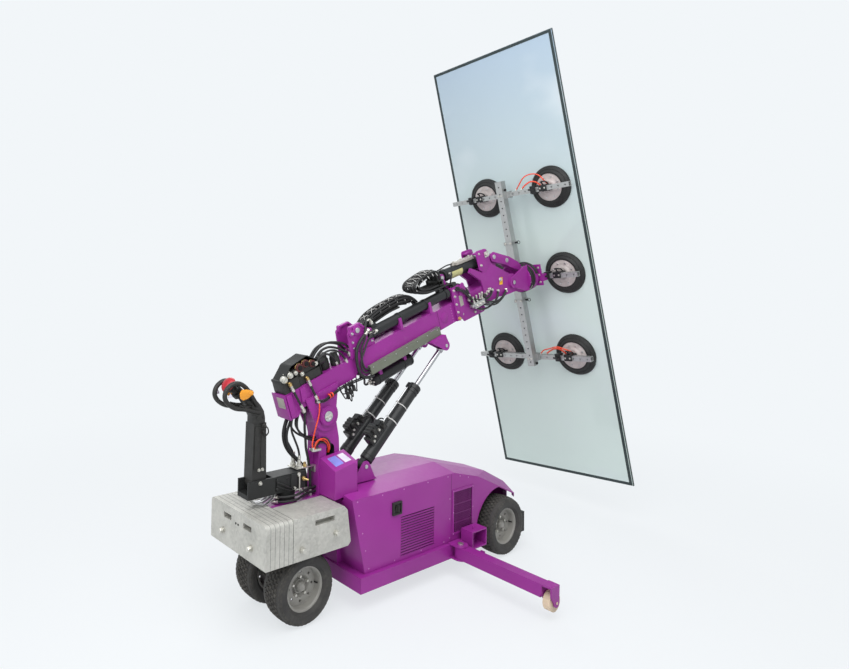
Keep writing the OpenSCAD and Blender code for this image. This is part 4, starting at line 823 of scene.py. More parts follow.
    def plate(self, outlines: Sequence[Sequence[Flat]], low: float, high: float, axis: str = "y",
              bevel: float = 1.5) -> None:
        """A cut plate with rounded edges and holes through it.

        Args:
            outlines: the outside first, then each hole, in the plane square to the axis.
            low: where it starts along the axis.
            high: where it ends.
            axis: x, y or z.
            bevel: radius of its edges.
        """
        shape = bpy.data.curves.new("cut_shape", "CURVE")
        shape.dimensions = "2D"
        shape.fill_mode = "BOTH"
        shape.extrude = (high - low) / 2 - bevel
        shape.bevel_depth = bevel
        shape.bevel_resolution = 1
        shape.offset = -bevel
        for index, outline in enumerate(outlines):
            area = sum(a[0] * b[1] - b[0] * a[1] for a, b in zip(outline, [*outline[1:], outline[0]]))
            turn = 1 if (area > 0) == (index == 0) else -1
            spline = shape.splines.new("POLY")
            spline.points.add(len(outline) - 1)
            for spot, pair in zip(spline.points, list(outline)[::turn]):
                spot.co = (pair[0], pair[1], 0, 1)
            spline.use_cyclic_u = True
        holder = bpy.data.objects.new("cut_shape", shape)
        made = bpy.data.meshes.new_from_object(holder)
        middle = (low + high) / 2
        turns = {
            "x": Matrix(((0, 0, 1, middle), (1, 0, 0, 0), (0, 1, 0, 0), (0, 0, 0, 1))),
            "y": Matrix(((1, 0, 0, 0), (0, 0, 1, middle), (0, 1, 0, 0), (0, 0, 0, 1))),
            "z": Matrix(((1, 0, 0, 0), (0, 1, 0, 0), (0, 0, 1, middle), (0, 0, 0, 1))),
        }
        made.transform(turns[axis])
        for face in made.polygons:
            face.material_index = self.current
        self.mesh.from_mesh(made)
        bmesh.ops.remove_doubles(self.mesh, verts=self.mesh.verts[-len(made.vertices):], dist=0.01)
        bpy.data.objects.remove(holder)
        bpy.data.curves.remove(shape)
        bpy.data.meshes.remove(made)

    def mesh_object(self) -> bpy.types.Object:
        """Turns the solids into an object that nothing carries yet."""
        bmesh.ops.recalc_face_normals(self.mesh, faces=self.mesh.faces)
        for face in self.mesh.faces:
            face.smooth = True
        for edge in self.mesh.edges:
            edge.smooth = len(edge.link_faces) == 2 and edge.calc_face_angle(0) < math.radians(38)
        data = bpy.data.meshes.new(self.name)
        self.mesh.transform(self.place)
        self.mesh.to_mesh(data)
        self.mesh.free()
        for finish in self.finishes:
            data.materials.append(Palette.get(finish))
        piece = bpy.data.objects.new(self.name, data)
        bpy.context.scene.collection.objects.link(piece)
        return piece

    def finish(self, body: str, slot: str, replaces: Sequence[str] = ()) -> bpy.types.Object:
        """Turns the solids into an object that rides on a body.

        Args:
            body: the CAD body that carries it.
            slot: not used.
            replaces: CAD nodes that it stands for.

        Returns:
            The finished object.
        """
        piece = self.mesh_object()
        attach(piece, body)
        if replaces:
            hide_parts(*replaces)
        log.info("%s: %d faces on %s", self.name, len(piece.data.polygons), body)
        return piece

    def finish_across(self, bodies: tuple[str, str],
                      replaces: Sequence[str] = ()) -> bpy.types.Object:
        """Turns the solids into an object fixed at its rest place and carried by no body.

        Args:
            bodies: the body at the start and the body at the end.
            replaces: CAD nodes that it stands for.

        Returns:
            The finished object.
        """
        place = self.place.copy()
        piece = self.mesh_object()
        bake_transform(piece)
        if replaces:
            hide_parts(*replaces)
        log.info("%s: %d faces from %s to %s", self.name, len(piece.data.polygons), *bodies)
        return piece


def dress(node: str, *finishes: Finish, place: Optional[Matrix] = None,
          choose: Optional[Callable[[Vector], int]] = None) -> None:
    """Gives a CAD node its finishes.

    Args:
        node: the node's name.
        finishes: the finishes, the main one first.
        place: frame that choose reads a face's middle in, or None for one finish.
        choose: tells which finish a face takes, from its middle in that frame.
    """
    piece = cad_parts[node]
    piece.data.materials.clear()
    for finish in finishes:
        piece.data.materials.append(Palette.get(finish))
    inverse = place.inverted() if place else None
    for face in piece.data.polygons:
        face.material_index = choose(inverse @ face.center) if choose else 0
    log.info("%s: dressed", node)


# Sub-assemblies


@dataclass
class Chassis:
    """Base frame, hood, power pack, bumper, weights and stabiliser legs."""

    hood_y: float = 281.0
    seam_x: float = 1172.0
    screw_d: float = 9.0
    louvre: tuple[float, float, float, float, int] = (694.0, 1002.0, 232.0, 470.0, 15)
    grille: tuple[float, float, float, float] = (1196.0, 1386.0, 258.0, 524.0)
    weight: tuple[float, float, float] = (291.0, 408.0, 640.0)
    stack_x: float = -147.2
    plate_pitch: float = 29.7
    plates: int = 6

    def build(self) -> None:
        """Dresses the CAD nodes and adds what they lack."""
        for node in ("base_frame", "leg_left", "leg_right"):
            dress(node, Finish.PURPLE)
        for node in ("hood_top", "console_box"):
            dress(node, Finish.PURPLE_SHEET)
        # Faces of the mesh screens take the darker purple, which is painted shade.
        dress("side_panels", Finish.PURPLE_SHEET, Finish.MESH, place=STANCE.machine(),
              choose=lambda p: int(abs(p.y) > self.hood_y + 0.1 and 1197 < p.x < 1385 and 259 < p.z < 523))
        dress("mast", Finish.PURPLE, Finish.STEEL, Finish.DARK, place=STANCE.machine(),
              choose=self._mast_finish)
        dress("drive_axle", Finish.BLACK)
        dress("power_pack", Finish.PLASTIC)
        dress("bumper", Finish.SATIN_BLACK)
        dress("rear_weights", Finish.ZINC)
        dress("side_weights", Finish.ZINC)
        dress("bolts_and_pins", Finish.PLATED)
        dress("switch_plate", Finish.PLASTIC)
        dress("switch_key", Finish.PLASTIC)
        dress("castor_left", Finish.NYLON)
        dress("castor_right", Finish.NYLON)
        self._hood_screws()
        self._louvre_lips()
        self._mesh_weave()
        self._coolers()
        self._console_patches()
        self._stack_seams()
        self._weight_bolts()
        self._switch_rim()
        self._bulkhead()

    @staticmethod
    def _mast_finish(p: Vector) -> int:
        """Pins are steel, the faces in the arched opening get near-black as painted shade, the rest is
        painted.

        Args:
            p: the face's middle.

        Returns:
            The finish's number.
        """
        if math.hypot(p.x - 526, p.z - 772) < 13 and abs(p.y) > 50:
            return 1
        # Faces in the arched opening: near-black, painted shade.
        if 200 < p.x < 400 and math.hypot(p.x - 300, max(0.0,
                                                         p.z - 900)) < 33 and p.z > 859 and -54 < p.y < 1:
            return 2
        return 0

    def _hood_screws(self) -> None:
        """Button heads along the edges of the side panels, in purple lightened as painted highlight, and the
        shut line of the front panel.
        """
        work = Workpiece("hood_screws", STANCE.machine(), Finish.SCREW_PAINT_AND_HIGHLIGHT)
        edge = [(x, 636) for x in (326, 530, 717, 939, 1136)] + [(339, 554), (369, 444), (395, 337),
                                                                 (423, 226)]
        lower = [(x, 218) for x in (640, 880, 1100)] + [(1157, z) for z in (487, 356, 231)]
        x0, x1, z0, z1 = self.grille
        screen = [(x, z) for x in (x0 - 7, x1 + 7) for z in (z0 - 7, (z0 + z1) / 2, z1 + 7)]
        front = [(1262, 620), (1350, 596), (1440, 236)]
        for side in (-1, 1):
            y = side * self.hood_y
            for x, z in edge + lower + front:
                work.rivet((x, y, z), (0, side, 0), self.screw_d)
            for x, z in screen:
                work.rivet((x, y + side * 6, z), (0, side, 0), self.screw_d * 0.8)
        work.of(Finish.SEAM)
        for side in (-1, 1):
            y = side * (self.hood_y + 0.25)
            work.block((self.seam_x - 1.1, y - 0.25, 204), (self.seam_x + 1.1, y + 0.25, 646))
        work.finish("chassis", "hood_paint")

    def _louvre_lips(self) -> None:
        """A pressed lip under each louvre."""
        work = Workpiece("louvre_lips", STANCE.machine(), Finish.PURPLE_SHEET)
        x0, x1, z0, z1, count = self.louvre
        for side in (-1, 1):
            y = side * self.hood_y
            for i in range(count):
                z = z0 + i * (z1 - z0 - 6) / (count - 1)
                lip = [(y - side, z), (y + side * 2.2, z + 1.0), (y + side * 1.2, z - 3.2), (y - side, z - 4)]
                work.prism(lip, x0 - 2, x1 + 2, "x")
        work.finish("chassis", "hood_paint")

    def _mesh_weave(self) -> None:
        """Cross wires of the mesh screens, in the purple darkened as painted shade."""
        work = Workpiece("screen_wires", STANCE.machine(), Finish.MESH)
        x0, x1, z0, z1 = self.grille
        for side in (-1, 1):
            y = side * (self.hood_y + 2.4)
            for i in range(1, int((z1 - z0) / 11)):
                work.rod((x0, y, z0 + 11 * i), (x1, y, z0 + 11 * i), 2.4, 6)
        work.finish("chassis", "hood_paint")

    def _coolers(self) -> None:
        """A finned core behind each mesh screen: black fins before a near-black block that is painted shade.
        """
        work = Workpiece("cooler_cores", STANCE.machine(), Finish.DARK)
        x0, x1, z0, z1 = self.grille
        for side in (-1, 1):
            near, far = sorted((side * (self.hood_y - 34), side * (self.hood_y - 24)))
            # Near-black block: painted shade behind the screen.
            work.of(Finish.DARK)
            work.block((x0 - 16, near, z0 - 16), (x1 + 16, far, z1 + 16), 2)
            work.of(Finish.PLASTIC)
            for i in range(int((x1 - x0) / 12)):
                x = x0 + 6 + 12 * i
                work.rod((x, side * (self.hood_y - 23), z0 - 10), (x, side * (self.hood_y - 23), z1 + 10), 5,
                         6)
        work.finish("chassis", "dark_steel")

    @staticmethod
    def _console_patches() -> None:
        """Blank patches that follow the console's sloping top."""
        work = Workpiece("console_patches", STANCE.machine(), Finish.BLUE_LABEL)
        for finish, start, stop in ((Finish.BLUE_LABEL, 252, 314), (Finish.WHITE_LABEL, 326, 374)):
            work.of(finish)
            rings = []
            for x in (start + (stop - start) * k / 4 for k in range(5)):
                top = []
                for y in (-168, -147, -126, -105, -84):
                    low_fold = 855 + 0.19429 * (x - 220) + 0.32459 * (y + 55.2)
                    high_fold = 855 + 0.13514 * (x - 220) + 0.25311 * (y + 55.2)
                    top.append(Vector((x, y, min(low_fold, high_fold) + 1.1)))
                rings.append([spot - Vector((0, 0, 0.8)) for spot in top] + top[::-1])
            work.skin(rings)
        work.finish("chassis", "hood_paint")

    def _outline(self, grow: float) -> list[Flat]:
        """Outline of a weight plate, grown by a margin.

        Args:
            grow: the margin.

        Returns:
            The outline's corners.
        """
        half, low, high = self.weight
        corner = 26 + grow
        right = arc((half - 26, high - 26), corner, 0, 90, 6)
        left = arc((26 - half, high - 26), corner, 90, 180, 6)
        return [(-half - grow, low - grow), (half + grow, low - grow), *right, *left]

    def _stack_seams(self) -> None:
        """The dark joints between the plates of the rear stack."""
        work = Workpiece("stack_joints", STANCE.machine(), Finish.ZINC_GAP)
        for i in range(self.plates):
            x = self.stack_x - i * self.plate_pitch + (0.1 if i else 0.2)
            half = 1.0 if i else 1.6
            section = ((-1, -2.0), (-1, 0.25), (1, 0.25), (1, -2.0))
            work.skin([[Vector((x + s * half, y, z)) for y, z in self._outline(grow)] for s, grow in section],
                      closed=True)
        work.finish("chassis", "weight_zinc")

    def _weight_bolts(self) -> None:
        """Washers and hexagon heads over the ends of the clamping bolts."""
        work = Workpiece("clamp_bolts", STANCE.machine(), Finish.PLATED)
        rear = self.stack_x - self.plates * self.plate_pitch - 10.2
        for s in (-1, 1):
            work.bolt((rear, s * 150, 486), (-1, 0, 0), 26)
            for x, z in ((-87, 468), (153, 504)):
                work.bolt((x, s * 301.3, z), (0, s, 0), 26)
        # Two near-black discs on the rear plate: painted shade of small recesses.
        work.of(Finish.DARK)
        for dy in (-12, 12):
            work.rod((rear + 10, dy, 566), (rear + 9, dy, 566), 13, 14)
        work.finish("chassis", "zinc_bolts")

    @staticmethod
    def _switch_rim() -> None:
        """Raised rim of the battery switch's plate."""
        work = Workpiece("switch_rim", STANCE.machine(), Finish.PLASTIC)
        x, y, z = 652, -289, 534
        sides = (((-39, -39), (39, -29)), ((-39, 29), (39, 39)), ((-39, -29), (-29, 29)),
                 ((29, -29), (39, 29)))
        for low, high in sides:
            work.block((x + low[0], y - 5, z + low[1]), (x + high[0], y + 0.5, z + high[1]), 1.5)
        work.finish("chassis", "switch_black")

    @staticmethod
    def _bulkhead() -> None:
        """Bracket on the mast with the pipe ends of the boom's hoses, and the hose loops round the pivot."""
        work = Workpiece("hose_bulkhead", STANCE.machine(), Finish.PLATED)
        work.block((62, -32, 806), (207.6, 62, 812), 1.2)
        work.block((196, -32, 770), (207.6, 62, 806), 1.2)
        for x, y in ((90, 44), (96, -10)):
            work.hexagon((x, y, 812.2), (x, y, 830), 32)
            work.rod((x, y, 830), (x, y, 846), 24, 18, 1)
            work.hexagon((x, y, 801), (x, y, 806), 28)
        work.of(Finish.BRASS)
        work.hexagon((128, -24, 812), (128, -24, 828), 20)
        work.hose([(128, -24, 826), (128, -26, 836), (118, -36, 842), (106, -42, 843)], 11)
        work.finish("chassis", "zinc_bolts")
        loops = Workpiece("pivot_hoses", STANCE.machine(), Finish.HOSE)
        for radius, z, d in ((92, 656, 14), (78, 676, 12), (98, 684, 12)):
            turn = [(radius * math.cos(math.radians(a)), radius * math.sin(math.radians(a)),
                     z + 4 * math.sin(a / 20))
                    for a in range(-150, -20, 22)]
            loops.hose([*turn, (150, -radius * 0.42, z + 2), (184, -radius * 0.36, z),
                        (207, -radius * 0.34, z)], d)
            loops.fitting(turn[0], tuple(Vector(turn[0]) - Vector(turn[1])), d)
        loops.finish("chassis", "hose_rubber")


@dataclass
class Wheels:
    """Four turf tyres on pressed rims."""

    tyre_d: float = 400.0
    tyre_w: float = 168.0
    rim_d: float = 236.0
    front_x: float = 1706.0
    front_y: float = 268.0
    rear_y: float = 149.0
    blocks: int = 44

    def build(self) -> None:
        """Builds the tyres, dresses the rims and bolts them on."""
        for end, x, y in (("front", self.front_x, self.front_y), ("rear", 0.0, self.rear_y)):
            for side, sign in (("left", 1), ("right", -1)):
                self._tyre(end, side, x, sign * y)
                dress(f"wheel_{end}_{side}", Finish.SILVER)
                self._hub(end, side, x, sign * y, sign)

    def _tyre(self, end: str, side: str, x: float, y: float) -> None:
        """One tyre with a rounded body and rows of tread blocks.

        Args:
            end: front or rear.
            side: left or right.
            x: where its axle is.
            y: its middle plane.
        """
        r, half = self.tyre_d / 2, self.tyre_w / 2
        work = Workpiece(f"turf_tyre_{end}_{side}", STANCE.machine() @ Matrix.Translation((x, y, r)),
                         Finish.WALL)
        bead = self.rim_d / 2 + 0.4
        section = [
            (bead, -half * 0.68), (bead + 4, -half * 0.72), (bead + 12, -half * 0.86),
            (bead + 20, -half * 0.93),
            (bead + 22, -half * 0.955), (bead + 25, -half * 0.95), (bead + 42, -half), (r - 28, -half * 0.99),
            (r - 16, -half * 0.94), (r - 9, -half * 0.84), (r - 7.5, -half * 0.5), (r - 7, 0),
        ]
        section += [(radius, -width) for radius, width in reversed(section[:-1])]
        count = 72
        work.skin([
            [Vector((radius * math.cos(a), width, radius * math.sin(a))) for radius, width in section]
            for a in (2 * math.pi * k / count for k in range(count))
        ], closed=True)
        work.of(Finish.TREAD)
        rows = [(-66, 20, 9.5), (-44, 17, 2.2), (-23, 17, 0.6), (0, 19, 0), (23, 17, 0.6), (44, 17, 2.2),
                (66, 20, 9.5)]
        length = 2 * math.pi * r / self.blocks * 0.62
        for index, (middle, width, drop) in enumerate(rows):
            for k in range(self.blocks):
                a = 2 * math.pi * (k + 0.5 * (index % 2)) / self.blocks
                self._tread_block(work, a, middle, width, r - drop, length)
        for sign in (-1, 1):
            for k in range(self.blocks):
                a = 2 * math.pi * (k + 0.25) / self.blocks
                self._tread_block(work, a, sign * half * 0.93, 9, r - 17, 17)
        work.finish(f"{end}_wheel_{side}", "tyre_rubber", [f"tyre_{end}_{side}"])

    @staticmethod
    def _tread_block(work: Workpiece, a: float, middle: float, width: float, top: float,
                     length: float) -> None:
        """One block of the tread, smaller at its top than at its foot.

        Args:
            work: the tyre.
            a: its angle round the axle.
            middle: its place across the tread.
            width: its size across the tread.
            top: its outer radius.
            length: its size round the tread.
        """
        radial = Vector((math.cos(a), 0, math.sin(a)))
        along = Vector((-math.sin(a), 0, math.cos(a)))
        work.skin([
            [radial * height + along * (u * length / 2 * scale) + Vector((0, middle + v * width / 2 * scale,
                                                                          0))
             for u, v in ((-1, -1), (1, -1), (1, 1), (-1, 1))]
            for height, scale in ((top - 11, 1.0), (top - 1.2, 0.9), (top - 0.1, 0.78))
        ])

    @staticmethod
    def _hub(end: str, side: str, x: float, y: float, sign: int) -> None:
        """Wheel bolts, hub ring and valve of one wheel.

        Args:
            end: front or rear.
            side: left or right.
            x: where its axle is.
            y: its middle plane.
            sign: 1 on the left, -1 on the right.
        """
        place = STANCE.machine() @ Matrix.Translation((x, y, 200))
        work = Workpiece(f"wheel_bolts_{end}_{side}", place, Finish.PLATED)
        for k in range(5):
            a = math.radians(72 * k + 18)
            spot = (53 * math.cos(a), sign * 8.5, 53 * math.sin(a))
            work.rod(spot, (spot[0], sign * 12, spot[2]), 19, 16)
            work.hexagon((spot[0], sign * 12, spot[2]), (spot[0], sign * 22, spot[2]), 15)
        work.of(Finish.SILVER)
        work.ring((0, sign * 6, 0), (0, sign * 14, 0), 40, 34)
        work.of(Finish.DARK)
        work.rod((98, sign * 19, 0), (103, sign * 44, 0), 8, 12, 1)
        work.finish(f"{end}_wheel_{side}", "rim_steel")


@dataclass
class Steering:
    """Steering fork, tiller arm, column and grip."""

    back: float = -212.0

    def build(self) -> None:
        """Dresses the tiller's nodes and adds its small parts."""
        dress("steering_fork", Finish.BLACK)
        dress("tiller_base", Finish.SATIN_BLACK)
        dress("tiller_column", Finish.PLASTIC)
        self._arm_details()
        self._column_details()
        self._grip()
        self._button()
        self._rockers()

    @staticmethod
    def _arm_details() -> None:
        """Bolts, plates and pipes on the arm, and the bare bracket under it."""
        work = Workpiece("arm_fittings", STANCE.machine(), Finish.PLATED)
        work.bolt((-212, -54.2, 784), (0, -1, 0), 17)
        work.bolt((29, -52.2, 712), (0, -1, 0), 18)
        work.hexagon((60, -52.2, 786), (60, -62, 786), 22)
        work.hose([(60, -60, 786), (60, -64, 774), (60, -64, 740), (60, -64, 700), (60, -62, 690)], 9,
                  sides=10)
        work.of(Finish.BRASS)
        work.hexagon((94, -52.2, 758), (94, -64, 758), 24)
        work.hose([(94, -62, 758), (100, -74, 756), (112, -82, 752)], 12, sides=10)
        work.of(Finish.SATIN_BLACK)
        work.block((-108, -56, 716), (-12, -52.2, 792), 1.5)
        work.block((4, -58, 720), (48, -52.2, 796), 2)
        for x in (-96, -24):
            work.bolt((x, -56.2, 730), (0, -1, 0), 12)
            work.bolt((x, -56.2, 778), (0, -1, 0), 12)
        work.of(Finish.HOSE)
        work.hose([(-100, -58, 770), (-60, -68, 752), (-20, -66, 728), (24, -60, 714)], 8)
        work.hose([(-100, -58, 748), (-60, -66, 730), (-10, -68, 710), (40, -58, 704)], 7)
        work.of(Finish.STEEL)
        for y, drop in ((-34, 0), (-6, 6), (24, 2)):
            bar = [(-262, 700), (-236, 676 - drop), (-206, 660), (-160, 652 + drop), (-118, 672), (-96, 700)]
            work.hose([(x, y, z) for x, z in bar], 22, sides=10, flat=0.28)
        work.block((-266, -44, 696), (-90, 44, 702), 1.5)
        work.finish("steering", "zinc_bolts")

    def _column_details(self) -> None:
        """Raised ducts, pinch bolts and the two cable plugs of the column."""
        work = Workpiece("column_duct", STANCE.machine(), Finish.PLASTIC)
        b = self.back
        for s in (-1, 1):
            near, far = sorted((s * 43, s * 49))
            work.plate([[(b - 38, 866), (b - 10, 866), (b - 8, 1100), (b - 34, 1100)]], near, far)
            near, far = sorted((s * 43, s * 47))
            work.plate([[(b + 6, 870), (b + 40, 870), (b + 37, 1060), (b + 8, 1060)]], near, far, bevel=1.2)
        work.rod((b + 18, -43, 1104), (b + 18, -62, 1104), 26, 20, 2)
        work.rod((b + 18, -62, 1104), (b + 18, -74, 1104), 17, 20, 2)
        work.rod((b + 20, -43, 1070), (b + 20, -58, 1070), 20, 20, 2)
        work.hose([(b + 18, -72, 1104), (b + 24, -84, 1096), (b + 30, -82, 1070), (b + 26, -60, 1046),
                   (b + 22, -46, 1040)], 8)
        work.of(Finish.PLATED)
        for x, z in ((b + 20, 856), (b - 4, 856)):
            work.bolt((x, -43.2, z), (0, -1, 0), 14)
        work.finish("tiller", "tiller_plastic")

    def _grip(self) -> None:
        """The moulded grip: a neck that rises to the rear and a bow round each hand."""
        work = Workpiece("moulded_grip", STANCE.machine() @ Matrix.Translation((self.back, 0, 0)),
                         Finish.PLASTIC)
        spine = [(0, 1118.4, 46, 44), (0, 1140, 46, 44), (-4, 1168, 45, 42), (-22, 1198, 44, 40),
                 (-44, 1226, 42, 36),
                 (-66, 1250, 38, 32), (-88, 1270, 34, 27), (-104, 1282, 32, 24)]
        rings = []
        for i, (x, z, wide, deep) in enumerate(spine):
            ahead, behind = spine[min(i + 1, len(spine) - 1)], spine[max(i - 1, 0)]
            along = Vector((ahead[0] - behind[0], 0, ahead[1] - behind[1])).normalized()
            out = Vector((-along.z, 0, along.x))
            turns = [2 * math.pi * k / 24 for k in range(24)]
            rings.append([
                Vector((x, 0, z)) + out * deep * math.copysign(abs(math.cos(a)) ** 0.55, math.cos(a))
                + Vector((0, wide * math.copysign(abs(math.sin(a)) ** 0.55, math.sin(a)), 0))
                for a in turns
            ])
        work.skin(rings)
        for s in (-1, 1):
            loop = [(-8, 40, 1180), (-58, 46, 1194), (-112, 53, 1211), (-174, 56, 1224), (-222, 56, 1254),
                    (-243, 56, 1292), (-230, 56, 1334), (-188, 56, 1360), (-140, 55, 1353), (-100, 54, 1322),
                    (-62, 50, 1272), (-26, 44, 1222)]
            work.hose([(x, s * w, z) for x, w, z in loop], 30, sides=14, flat=0.86)
            work.hose([(-84, s * 30, 1264), (-96, s * 46, 1282), (-110, s * 54, 1306)], 34, flat=0.7)
            work.hose([(-62, s * 34, 1222), (-100, s * 50, 1222), (-140, s * 56, 1232)], 26, flat=0.6)
            work.rod((-20, s * 46, 1150), (-20, s * 50, 1150), 16, 16, 1)
            work.rod((18, s * 45, 1150), (18, s * 49, 1150), 12, 16, 1)
        work.ring((-118, 0, 1287.5), (-136, 0, 1302.6), 34, 23)
        work.of(Finish.WHITE_LABEL)
        for s in (-1, 1):
            near, far = sorted((s * 66, s * 70.5))
            work.prism([(-216, 1312), (-230, 1288), (-204, 1290)], near, far, "y")
        work.finish("tiller", "tiller_plastic", ["tiller_head"])

    def _button(self) -> None:
        """The red dome cap on its short shaft."""
        slant = math.radians(50)
        axis = Vector((-math.sin(slant), 0, math.cos(slant)))
        foot = Vector((self.back - 140, 0, 1306)) - axis * 14
        work = Workpiece("red_dome", STANCE.machine(), Finish.PLASTIC)
        work.turned(tuple(foot), tuple(foot + axis), [(0, 21), (34, 21), (36, 26), (44, 30), (64, 34),
                                                      (70, 38)], 32)
        work.of(Finish.BUTTON)
        top = [(74 + 34 * math.sin(math.radians(a)), 46.5 * math.cos(math.radians(a))) for a in (15, 30, 45,
                                                                                                 60, 72, 82,
                                                                                                 88)]
        work.turned(tuple(foot), tuple(foot + axis), [(70, 36), (70, 44), (74, 46.5), *top], 40)
        work.finish("belly_button", "button_red", ["belly_button"])

    def _rockers(self) -> None:
        """Amber thumb rockers, each with a hub and a curved paddle."""
        place = STANCE.machine() @ Matrix.Translation((self.back - 84, 0, 1303))
        work = Workpiece("amber_paddles", place, Finish.AMBER)
        for s in (-1, 1):
            paddle = [*arc((0, 0), 14, 60, -100, 6), (-26, -30), (-56, -36), (-72, -24), (-76, 4), (-62, 24),
                      (-30, 22)]
            near, far = sorted((s * 70.5, s * 81))
            work.of(Finish.AMBER)
            work.plate([paddle], near, far, bevel=3.5)
            work.rod((0, s * 66.5, 0), (0, s * 84, 0), 20, 20, 2)
            work.of(Finish.PLASTIC)
            work.rod((0, s * 60, 0), (0, s * 70.4, 0), 34, 24, 0.5)
        work.finish("thumb_rocker", "rocker_amber", ["thumb_rocker"])


